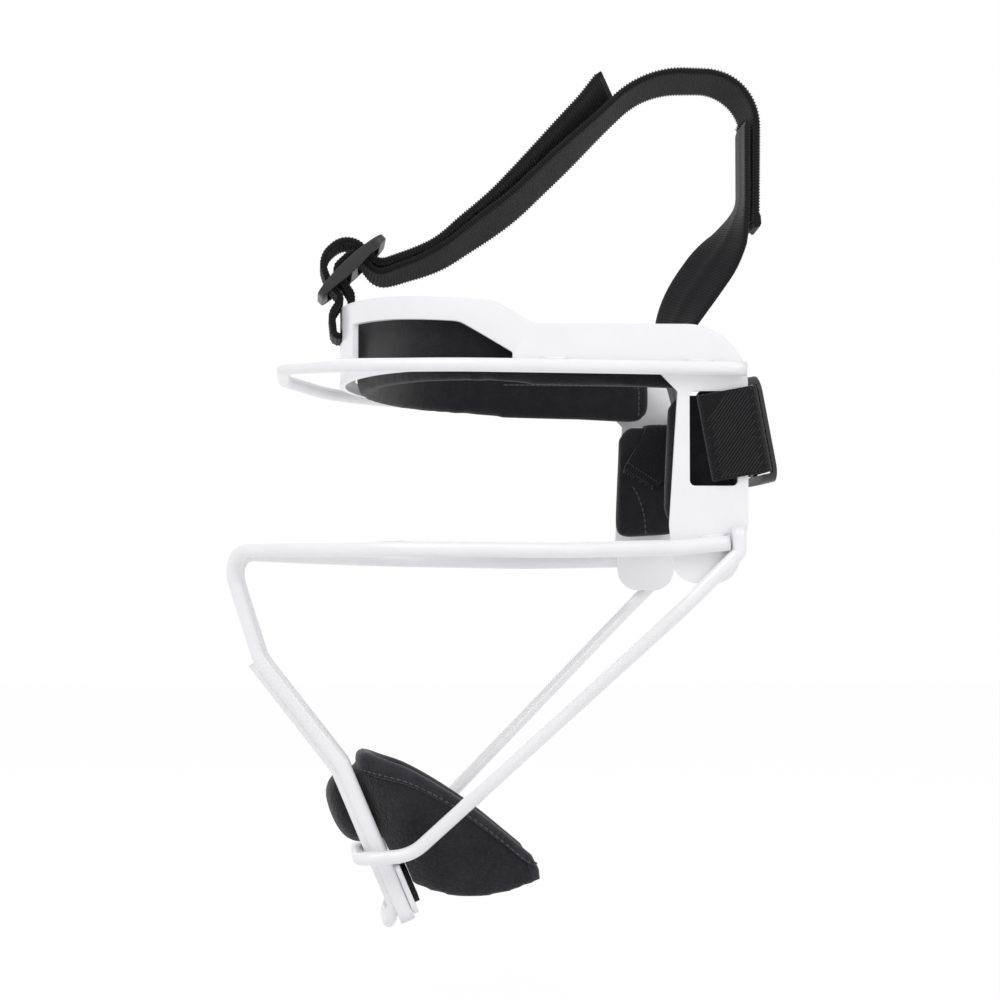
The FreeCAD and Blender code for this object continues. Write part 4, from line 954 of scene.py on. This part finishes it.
# %% Lofts and swelling


def squared_circle(turned, level_power, deep_power):
    """Level and depth on a circle squared off by powers below one."""
    level, deep = math.sin(turned), math.cos(turned)
    return math.copysign(abs(level) ** level_power, level), math.copysign(abs(deep) ** deep_power, deep)


def ring_loft(name, rings, material):
    """A closed skin over rings of points, each ring a list of Vectors in millimetres."""
    work = bmesh.new()
    made = [[work.verts.new(point * MM) for point in ring] for ring in rings]
    for first, second in zip(made, made[1:]):
        for index in range(len(first)):
            on = (index + 1) % len(first)
            work.faces.new((first[index], first[on], second[on], second[index]))
    for ring, back in ((made[0], True), (made[-1], False)):
        middle = work.verts.new(sum((vert.co for vert in ring), Vector()) / len(ring))
        for index in range(len(ring)):
            corners = (ring[index], ring[(index + 1) % len(ring)], middle)
            work.faces.new(corners[::-1] if back else corners)
    return made_piece(work, name, material)


def swollen(piece, voxel, pressure, cap, held, frames=16, rounds=0):
    """Even faces, then cloth with inner pressure; held says which points stay put."""
    even = piece.modifiers.new("even", "REMESH")
    even.mode = "VOXEL"
    even.voxel_size = voxel
    if rounds:
        calm = piece.modifiers.new("calm", "SMOOTH")
        calm.factor = 0.5
        calm.iterations = rounds
    baked(piece)
    start = [vert.co.copy() for vert in piece.data.vertices]
    pins = piece.vertex_groups.new(name="held")
    for vert in piece.data.vertices:
        if held(vert.co):
            pins.add([vert.index], 1.0, "REPLACE")
    cloth = piece.modifiers.new("cover", "CLOTH")
    settings = cloth.settings
    settings.quality = 5
    settings.use_pressure = True
    settings.uniform_pressure_force = pressure
    settings.effector_weights.gravity = 0
    settings.vertex_group_mass = "held"
    settings.tension_stiffness = 20
    settings.compression_stiffness = 20
    settings.bending_stiffness = 1.0
    cloth.point_cache.frame_start = 1
    cloth.point_cache.frame_end = frames
    for step in range(1, frames + 1):
        scene.frame_set(step)
    baked(piece)
    scene.frame_set(1)
    for vert, home in zip(piece.data.vertices, start):
        moved = vert.co - home
        if moved.length > cap:
            vert.co = home + moved.normalized() * cap
    piece.vertex_groups.clear()
    detail = piece.modifiers.new("detail", "SUBSURF")
    detail.levels = 1
    detail.render_levels = 1
    return smooth(baked(piece))


# %% [markdown]
# The forehead cushion lies against the inside of the band, so its rings stand on the band's own plan
# line: a wide front arc, a tighter corner and a straight side. Cloth alone would not find that line.

# %% Forehead cushion
FRONT_MIDDLE = Vector((0.0, 96.7, 0.0))
FRONT_RADIUS = 110.0
CORNER_MIDDLE = Vector((28.7146, 46.3069, 0.0))
CORNER_RADIUS = 52.0
JOIN_ANGLE = math.radians(-60.325)
CORNER_END = -SIDE_SLOPE
FRONT_Y = -13.3
PAD_BACK = 6.0
PAD_THICKNESS = 7.3
PAD_LENGTH = 125.3


def band_top(y):
    return read_table([(-16.3, 17.8), (38.8, 12.2), (52.0, 4.4)], y)


def band_stations(inset, step, end_y):
    """Points on the band's plan line at an inset, with the way inward, from the middle to the left end."""
    stations = []
    front = FRONT_RADIUS - inset
    arc = (JOIN_ANGLE + math.pi / 2) * front
    for index in range(math.ceil(arc / step)):
        angle = -math.pi / 2 + (JOIN_ANGLE + math.pi / 2) * index / math.ceil(arc / step)
        way = Vector((math.cos(angle), math.sin(angle), 0.0))
        stations.append((FRONT_MIDDLE + way * front, -way))
    corner = CORNER_RADIUS - inset
    steps = math.ceil((CORNER_END - JOIN_ANGLE) * corner / step)
    for index in range(steps):
        angle = JOIN_ANGLE + (CORNER_END - JOIN_ANGLE) * index / steps
        way = Vector((math.cos(angle), math.sin(angle), 0.0))
        stations.append((CORNER_MIDDLE + way * corner, -way))
    way = Vector((math.cos(CORNER_END), math.sin(CORNER_END), 0.0))
    start = CORNER_MIDDLE + way * corner
    along = Vector((math.sin(SIDE_SLOPE), math.cos(SIDE_SLOPE), 0.0))
    run = (end_y - start.y) / along.y
    steps = math.ceil(run / step)
    for index in range(steps + 1):
        stations.append((start + along * (run * index / steps), -way))
    return stations


def both_halves(stations):
    other = [tuple(Vector((-item.x, item.y, item.z)) for item in row) for row in reversed(stations[1:])]
    return other + stations


def cushion_ring(back, inward, low, high, thickness, shrink=1.0):
    """Soft closed section: flat behind, crowned in front, drawn in at its top and bottom."""
    middle = (low + high) / 2
    half = (high - low) / 2 * shrink
    depth = thickness * shrink
    ring = []
    count = 28
    for index in range(count):
        across, deep = squared_circle(2 * math.pi * index / count, 0.42, 0.62)
        crown = 0.5 + 0.5 * deep * (1.0 - 0.10 * abs(across) ** 3)
        spot = back + inward * (thickness * (1 - shrink) / 2 + depth * crown)
        ring.append(spot + Vector((0, 0, middle + half * across)))
    return ring


def pad_levels(y):
    share = (y - FRONT_Y) / PAD_LENGTH
    return -13.5 - share * 4.7, band_top(y) + 0.7


pad_rows = both_halves(band_stations(PAD_BACK, 3.0, FRONT_Y + PAD_LENGTH - 1.2))
pad_rings = []
for number, (point, way) in enumerate(pad_rows):
    end_gap = min(number, len(pad_rows) - 1 - number)
    shrink = (0.55, 0.85)[end_gap] if end_gap < 2 else 0.985
    low, high = pad_levels(point.y)
    pad_rings.append(cushion_ring(point, way, low, high, PAD_THICKNESS - 0.2, shrink))
forehead_pad = ring_loft("forehead_cushion_pad", pad_rings, COVER)


def band_depth(spot):
    """Distance of a point inward from the band's outer face, in millimetres."""
    x, y = abs(spot.x) / MM, spot.y / MM
    if math.atan2(y - FRONT_MIDDLE.y, x) < JOIN_ANGLE:
        return FRONT_RADIUS - math.hypot(x, y - FRONT_MIDDLE.y)
    from_corner = Vector((x, y, 0.0)) - CORNER_MIDDLE
    if math.atan2(from_corner.y, from_corner.x) < CORNER_END:
        return CORNER_RADIUS - from_corner.length
    return CORNER_RADIUS - from_corner.dot(Vector((math.cos(CORNER_END), math.sin(CORNER_END), 0.0)))


def against_band(spot):
    """Whether a point lies in the flat back of a cushion, which the cloth holds still."""
    return band_depth(spot) < PAD_BACK + 0.9


swollen(forehead_pad, 0.0026, 2.0, 0.0010, against_band)
finish_piece(forehead_pad, "forehead_cushion", "black_knit", "forehead_pad")
print("forehead pad", len(forehead_pad.data.polygons), "faces")

# %% [markdown]
# Remeshing would wipe out a seam, so the stitches come last. Their line is drawn a little off the
# cushion and dropped onto the swollen cover, and so it follows every hollow that the cloth made.

# %% Seams on a cushion


def on_cushion(piece, points, toward):
    """Drops points along a direction to a cushion's surface."""
    tree = bvhtree.BVHTree.FromObject(piece, bpy.context.evaluated_depsgraph_get())
    laid = []
    for point in points:
        spot = tree.ray_cast(point - toward * 0.01, toward)[0]
        laid.append(spot - toward * 0.0001 if spot else point)
    return laid


for sign, side in ((1, "left"), (-1, "right")):
    seam = []
    for number in range(24):
        y = 30.0 + number * 3.3
        point = side_place(y - 125.0, PAD_BACK + PAD_THICKNESS, -3.0)
        seam.append(Vector((sign * point.x, y, -3.0)) * MM)
    seam += [Vector((seam[-1].x, seam[-1].y + 0.0006, z * MM)) for z in (-5.5, -8.5, -11.5, -14.0)]
    seam = on_cushion(forehead_pad, [point for point in seam if point.y > 0.0500], Vector((sign, 0.0, 0.0)))
    grown("forehead_seam_" + side, STITCH_ROWS, line_mesh("forehead_line_" + side, seam), "forehead_cushion",
          "black_knit", **CUSHION_STITCH)

# %% [markdown]
# The temple cushions are small flat blocks of the same foam and cover. They are lofted upright along
# the plate with drawn-in ends, and they lean a little, as the plate's front edge does.

# %% Temple cushions
TEMPLE_REAR, TEMPLE_FRONT, TEMPLE_TOP = -2.2, -28.8, -18.4
TEMPLE_LOW_REAR, TEMPLE_LOW_FRONT, TEMPLE_LEAN = -62.7, -64.7, 2.4
TEMPLE_SEAM = [(-21.3, -43.8), (-20.0, -46.0), (-18.6, -49.4), (-17.4, -53.5), (-16.8, -57.5), (-16.5, -61.0)]

for sign, side in ((1, "left"), (-1, "right")):
    rings = []
    way = Vector((-math.cos(SIDE_SLOPE), math.sin(SIDE_SLOPE), 0.0))
    rearward = Vector((math.sin(SIDE_SLOPE), math.cos(SIDE_SLOPE), 0.0))
    steps = 14
    for index in range(steps + 1):
        share = index / steps
        ahead = 1.0 - share
        low = TEMPLE_LOW_REAR + (TEMPLE_LOW_FRONT - TEMPLE_LOW_REAR) * ahead
        near_end = min(share, ahead) * 26.0
        shrink = 0.80 + 0.2 * min(1.0, near_end / 4.0) ** 0.5
        base = side_place(TEMPLE_REAR + (TEMPLE_FRONT - TEMPLE_REAR) * ahead, PAD_BACK, 0.0)
        ring = cushion_ring(base, way, low + 0.6, TEMPLE_TOP - 0.6, PAD_THICKNESS, shrink)
        lean = TEMPLE_LEAN * ahead / (TEMPLE_TOP - TEMPLE_LOW_FRONT)
        ring = [point + rearward * (lean * (point.z - TEMPLE_LOW_FRONT)) for point in ring]
        rings.append([to_side(sign, point) for point in ring])
    pad = ring_loft("temple_cushion_" + side, rings, COVER)
    swollen(pad, 0.0022, 2.5, 0.0010, against_band)
    finish_piece(pad, "frame", "black_knit", "temple_pad_" + side)
    seam = [side_place(along, PAD_BACK + PAD_THICKNESS + 0.75, z) for along, z in TEMPLE_SEAM]
    seam = on_cushion(pad, [to_side(sign, point) * MM for point in seam], Vector((sign, 0.0, 0.0)))
    grown("temple_seam_" + side, STITCH_ROWS, line_mesh("temple_line_" + side, seam), "frame", "black_knit",
          **CUSHION_STITCH)

# %% [markdown]
# The chin cup is a leaf of foam bent into a U. Its rings come from a short table of places along
# one arm, smoothly joined, and a round nose fills the space between the two legs.

# %% Chin cup
KNEE = Vector((0.0, -11.9, -148.8))
LEG_UP = Vector((0.0, -0.39029, 0.92069))
LEG_BACK = Vector((0.0, 0.92069, 0.39029))
CUP_HALF_WIDTH = 27.2
CUP_DEPTH = 41.8
CUP_HEIGHT = 62.0
CUP_THICKNESS = 9.0
CUP_POWERS = (0.72, 0.85)
CUP_SETBACK = 7.7
CUP_ROWS = [
    (0.0, 0.0, 0, 0.02, -0.80, 1.0),
    (0.30, 0.0, 0, 0.02, -0.80, 1.0),
    (0.55, 0.03, 18, 0.005, -0.82, 1.0),
    (0.74, 0.14, 45, -0.06, -0.89, 1.0),
    (0.85, 0.32, 68, -0.17, -0.97, 1.0),
    (0.91, 0.53, 78, -0.35, -1.02, 0.92),
    (0.96, 0.75, 80, -0.58, -1.045, 0.78),
    (1.0, 1.0, 82, -0.90, -1.05, 0.5)]


def leg_place(across, back, up):
    return KNEE + Vector((across, 0.0, 0.0)) + LEG_BACK * back + LEG_UP * up


def along_rows(rows, place):
    """Catmull and Rom's curve through the rows, at a place counted in rows."""
    index = min(len(rows) - 2, int(place))
    share = place - index
    before = rows[max(0, index - 1)]
    after = rows[min(len(rows) - 1, index + 2)]
    values = []
    for a, b, c, d in zip(before, rows[index], rows[index + 1], after):
        curve = 2 * b + (c - a) * share + (2 * a - 5 * b + 4 * c - d) * share ** 2
        curve += (3 * b - a - 3 * c + d) * share ** 3
        values.append(curve / 2)
    return values


def cup_section(row, sign):
    """Centre of the cup's section in a row, its way outward and half its thickness."""
    across, back, turn, top, bottom, thick = row
    centre = leg_place(sign * across * CUP_HALF_WIDTH, CUP_SETBACK + back * CUP_DEPTH, 0.0)
    angle = math.radians(turn)
    outward = Vector((sign * math.sin(angle), 0.0, 0.0)) - LEG_BACK * math.cos(angle)
    return centre, outward, CUP_THICKNESS * thick / 2


def cup_ring(row, sign, count=32):
    top, bottom = row[3:5]
    centre, outward, half = cup_section(row, sign)
    high, low = top * CUP_HEIGHT, bottom * CUP_HEIGHT
    ring = []
    for index in range(count):
        level, deep = squared_circle(2 * math.pi * index / count, *CUP_POWERS)
        ring.append(centre + outward * (half * deep) + LEG_UP * ((high + low) / 2 + (high - low) / 2 * level))
    return ring


CUP_STEPS = 42
cup_places = [index / CUP_STEPS * (len(CUP_ROWS) - 1) for index in range(CUP_STEPS + 1)]
cup_rings = [cup_ring(along_rows(CUP_ROWS, place), -1) for place in reversed(cup_places[1:])]
cup_rings += [cup_ring(along_rows(CUP_ROWS, place), 1) for place in cup_places]
chin_cup = ring_loft("chin_cushion_cup", cup_rings, CUP_KNIT)


NOSE_HALF_WIDTH, NOSE_HALF_HEIGHT, NOSE_LEVEL = 14.4, 13.6, -15.7
NOSE_BACK, NOSE_REACH = 9.0, 11.1


def nose_rings():
    """The padded nose between the legs, from left to right."""
    rings = []
    steps, count = 16, 28
    depth = (NOSE_REACH + NOSE_BACK) / 2
    for index in range(steps + 1):
        share = 2 * index / steps - 1
        fullness = (1 - abs(share) ** 3.2) ** 0.5 if abs(share) < 1 else 0.0
        fullness = 0.45 + 0.55 * fullness
        ring = []
        for step in range(count):
            level, deep = squared_circle(2 * math.pi * step / count, 0.8, 0.75)
            ring.append(leg_place(share * NOSE_HALF_WIDTH, NOSE_BACK - depth + depth * deep * fullness,
                                  NOSE_LEVEL + NOSE_HALF_HEIGHT * level * fullness))
        rings.append(ring)
    return rings


nose = ring_loft("chin_nose", nose_rings(), COVER)
joined = bmesh.new()
joined.from_mesh(chin_cup.data)
joined.from_mesh(nose.data)
joined.to_mesh(chin_cup.data)
joined.free()
bpy.data.objects.remove(nose)


def from_knee(spot):
    """How far a point is behind the legs' plane and up along them from the knee, in millimetres."""
    away = spot / MM - KNEE
    return away.dot(LEG_BACK), away.dot(LEG_UP)


def near_rim(spot):
    """Whether a point is under the binding of the cup's top edge."""
    back, up = from_knee(spot)
    share = min(1.0, max(0.0, (back - CUP_SETBACK) / CUP_DEPTH))
    return up > -9.0 - 50.0 * share ** 1.2


swollen(chin_cup, 0.0015, 2.0, 0.0010,
        lambda spot: abs(spot.x) > 0.0146 and (from_knee(spot)[0] < 4.2 or near_rim(spot)), rounds=5)
LEG_SPAN, LEG_CLEARANCE = (0.0148, 0.0262), 3.1
PLATE_HALF_WIDTH, PLATE_LEVELS, PLATE_CLEARANCE = 0.0255, (-61.0, -38.5), 6.9
for vert in chin_cup.data.vertices:
    back, up = from_knee(vert.co)
    least = back
    if LEG_SPAN[0] < abs(vert.co.x) < LEG_SPAN[1]:
        least = LEG_CLEARANCE
    if abs(vert.co.x) < PLATE_HALF_WIDTH and PLATE_LEVELS[0] < up < PLATE_LEVELS[1]:
        least = PLATE_CLEARANCE
    if back < least:
        vert.co += LEG_BACK * ((least - back) * MM)
finish_piece(chin_cup, "chin_cushion", "black_knit", "chin_cup")
print("chin cup", len(chin_cup.data.polygons), "faces")

# %% [markdown]
# A strip of mesh cloth binds the cup's top edge. It is lofted from the same rows as the cup, a
# little outside its skin, and a small lofted block stands for its fold round each pointed end.

# %% Binding of the chin cup
BINDING_DROP = 6.0


def binding_ring(row, sign, steps=9):
    top, bottom = row[3:5]
    centre, outward, half = cup_section(row, sign)
    middle, span = (top + bottom) / 2 * CUP_HEIGHT, (top - bottom) / 2 * CUP_HEIGHT
    start = math.asin(max(0.1, 1.0 - BINDING_DROP / span) ** (1 / CUP_POWERS[0]))
    ring = []
    for grow, order in ((0.55, 1), (-0.9, -1)):
        arc = []
        for index in range(steps + 1):
            turned = start + (math.pi - 2 * start) * index / steps
            level, deep = squared_circle(turned, *CUP_POWERS)
            arc.append(centre + outward * ((half + grow) * deep) + LEG_UP * (middle + (span + grow) * level))
        ring += arc[::order]
    return ring


binding_rows = [(place, -1) for place in reversed(cup_places[1:])] + [(place, 1) for place in cup_places]
binding_rings = [binding_ring(along_rows(CUP_ROWS, place), sign) for place, sign in binding_rows]
binding = smooth(ring_loft("chin_cup_binding", binding_rings, BINDING), 50.0)
finish_piece(binding, "chin_cushion", "black_knit")
steps = len(binding_rings[0]) // 2
binding_seams = [[(ring[corner] + (ring[corner] - ring[partner]) * 0.10 + LEG_UP * 1.1) * MM
                  for ring in binding_rings] for corner, partner in ((0, -1), (steps - 1, steps))]
binding_row = grown("chin_binding_stitches", STITCH_ROWS, line_mesh("binding_seams", *binding_seams),
                    "chin_cushion", "black_knit", Pitch=0.0024, Length=0.0019, Radius=0.0003, Material=THREAD)
print("binding:", len(binding.data.polygons), "faces and", len(binding_row.data.polygons), "in its stitches")

# %% Folded tips of the binding
for sign, side in ((1, "left"), (-1, "right")):
    rings = []
    for index in range(9):
        share = index / 4 - 1
        fullness = max(0.35, (1 - abs(share) ** 3) ** 0.5)
        ring = []
        for step in range(20):
            level, deep = squared_circle(2 * math.pi * step / 20, 0.6, 0.6)
            ring.append(leg_place(sign * (CUP_HALF_WIDTH - 0.2 + 2.6 * deep * fullness), 47.9 + 2.1 * share,
                                  -59.9 + 4.0 * level * fullness))
        rings.append(ring)
    tip = smooth(ring_loft("chin_cup_tip_" + side, rings, BINDING))
    finish_piece(tip, "chin_cushion", "black_knit")

# %% [markdown]
# Hook and loop tape is a thin woven ground with a stiff pile. The ground is a copy of the CAD strip
# with soft edges, and Geometry Nodes spread small bristles over the face that meets the other tape.

# %% Tapes


def pile_tree():
    tree, given, out = open_group(
        "hook_pile", "GeometryNodeTree",
        [("Geometry", "NodeSocketGeometry", None), ("Density", "NodeSocketFloat", 500000.0),
         ("Height", "NodeSocketFloat", 0.0003), ("Radius", "NodeSocketFloat", 0.00012),
         ("Facing", "NodeSocketVector", None), ("Seed", "NodeSocketInt", 4),
         ("Material", "NodeSocketMaterial", None)],
        [("Geometry", "NodeSocketGeometry")])
    normal = add(tree, "GeometryNodeInputNormal").outputs[0]
    toward = vector_math(tree, "DOT_PRODUCT", normal, given["Facing"], "Value")
    chosen = add(tree, "FunctionNodeCompare", {0: toward, 1: 0.9}, data_type="FLOAT", operation="GREATER_THAN")
    spread = add(tree, "GeometryNodeDistributePointsOnFaces", {
        "Mesh": given["Geometry"], "Selection": chosen.outputs[0], "Density": given["Density"],
        "Seed": given["Seed"]}, distribute_method="RANDOM")
    bristle = add(tree, "GeometryNodeMeshCone", {
        "Vertices": 4, "Side Segments": 1, "Fill Segments": 1,
        "Radius Top": calculate(tree, "MULTIPLY", given["Radius"], 0.6), "Radius Bottom": given["Radius"],
        "Depth": given["Height"]}).outputs["Mesh"]
    pile = add(tree, "GeometryNodeInstanceOnPoints", {
        "Points": spread.outputs["Points"], "Instance": bristle,
        "Rotation": spread.outputs["Rotation"]}).outputs[0]
    finish_tree(tree, pile, given["Material"], out)
    return tree


HOOK_PILE = pile_tree()
TAPES = {
    "forehead_hooks_left": ("frame", (-1, 0, 0)), "forehead_hooks_right": ("frame", (1, 0, 0)),
    "forehead_loops_left": ("forehead_cushion", (1, 0, 0)),
    "forehead_loops_right": ("forehead_cushion", (-1, 0, 0)),
    "temple_hooks_left": ("frame", (-1, 0, 0)), "temple_hooks_right": ("frame", (1, 0, 0)),
    "chin_hooks": ("frame", tuple(LEG_BACK))}

for node, (body, facing) in TAPES.items():
    piece = soften_edges(merged_copy(node, "tape_" + node, TAPE), 0.0002, segments=2)
    pile = grown("pile_" + node, HOOK_PILE, piece.data.copy(), body, "hook_tape", Facing=facing, Material=TAPE,
                 Density=700000.0, Height=0.0002, Radius=0.00012, Seed=4)
    finish_piece(piece, body, "hook_tape", node)
    print(piece.name, len(piece.data.polygons), "faces,", len(pile.data.polygons), "in its pile")

# %% [markdown]
# The studio is a pale floor below the hanging mask, a white world behind it and large soft lamps.
# The white of the picture comes from what the camera sees directly, so the lamps stay moderate.

# %% Studio
FLOOR_GAP = 0.03
FLOOR_REACH = 6.0
FLOOR_GLOW = 0.975
WORLD_COLOUR = (0.985, 0.985, 1.0, 1.0)
WORLD_STRENGTH = 0.64
LAMPS = {
    "key_lamp": ((1.1, -0.9, 1.3), 1.2, 11.5), "rear_lamp": ((0.9, 1.2, 0.9), 1.0, 6.0),
    "far_lamp": ((-1.3, -0.3, 0.8), 1.2, 4.5)}


def white_to_camera(tree, lit, strength):
    """Adds plain white for rays that come straight from the camera or from glossy surfaces."""
    path = add(tree, "ShaderNodeLightPath")
    seen = calculate(tree, "MAXIMUM", path.outputs["Is Camera Ray"], path.outputs["Is Glossy Ray"])
    seen = calculate(tree, "MAXIMUM", seen, path.outputs["Is Transmission Ray"])
    return add(tree, "ShaderNodeMixShader", {0: calculate(tree, "MULTIPLY", seen, strength), 1: lit})


def build_world():
    world = bpy.data.worlds.new("studio")
    world.use_nodes = True
    tree = world.node_tree
    lit = tree.nodes["Background"]
    lit.inputs["Color"].default_value = WORLD_COLOUR
    lit.inputs["Strength"].default_value = WORLD_STRENGTH
    seen = add(tree, "ShaderNodeBackground", {"Color": (1, 1, 1, 1), "Strength": 1.0})
    mix = white_to_camera(tree, lit.outputs[0], 1.0)
    tree.links.new(seen.outputs[0], mix.inputs[2])
    tree.links.new(mix.outputs[0], tree.nodes["World Output"].inputs["Surface"])
    scene.world = world


def build_floor():
    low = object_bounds()[0]
    level = low[2] - FLOOR_GAP
    mesh = bpy.data.meshes.new("floor")
    corners = [(x * FLOOR_REACH, y * FLOOR_REACH, level) for x, y in ((-1, -1), (1, -1), (1, 1), (-1, 1))]
    mesh.from_pydata(corners, [], [(0, 1, 2, 3)])
    material = bpy.data.materials.new("pale_floor")
    material.use_nodes = True
    tree = material.node_tree
    shader = tree.nodes["Principled BSDF"]
    shader.inputs["Base Color"].default_value = (0.9, 0.9, 0.9, 1.0)
    shader.inputs["Roughness"].default_value = 0.9
    glow = add(tree, "ShaderNodeEmission", {"Color": (1, 1, 1, 1), "Strength": 1.0})
    material.cycles.emission_sampling = "NONE"
    mix = white_to_camera(tree, shader.outputs[0], FLOOR_GLOW)
    tree.links.new(glow.outputs[0], mix.inputs[2])
    tree.links.new(mix.outputs[0], tree.nodes["Material Output"].inputs["Surface"])
    link_object("floor", mesh, material)


def area_lamp(name, place, size, watts):
    data = bpy.data.lights.new(name, "AREA")
    data.shape = "DISK"
    data.size = size
    data.energy = watts
    lamp = bpy.data.objects.new(name, data)
    scene.collection.objects.link(lamp)
    lamp.location = place
    lamp.rotation_euler = (CAMERA_AIM - Vector(place)).to_track_quat("-Z", "Y").to_euler()


build_world()
build_floor()
for name, (place, size, watts) in LAMPS.items():
    area_lamp(name, place, size, watts)
scene.view_settings.view_transform = "Standard"
print("lamps:", [item.name for item in bpy.data.lights])
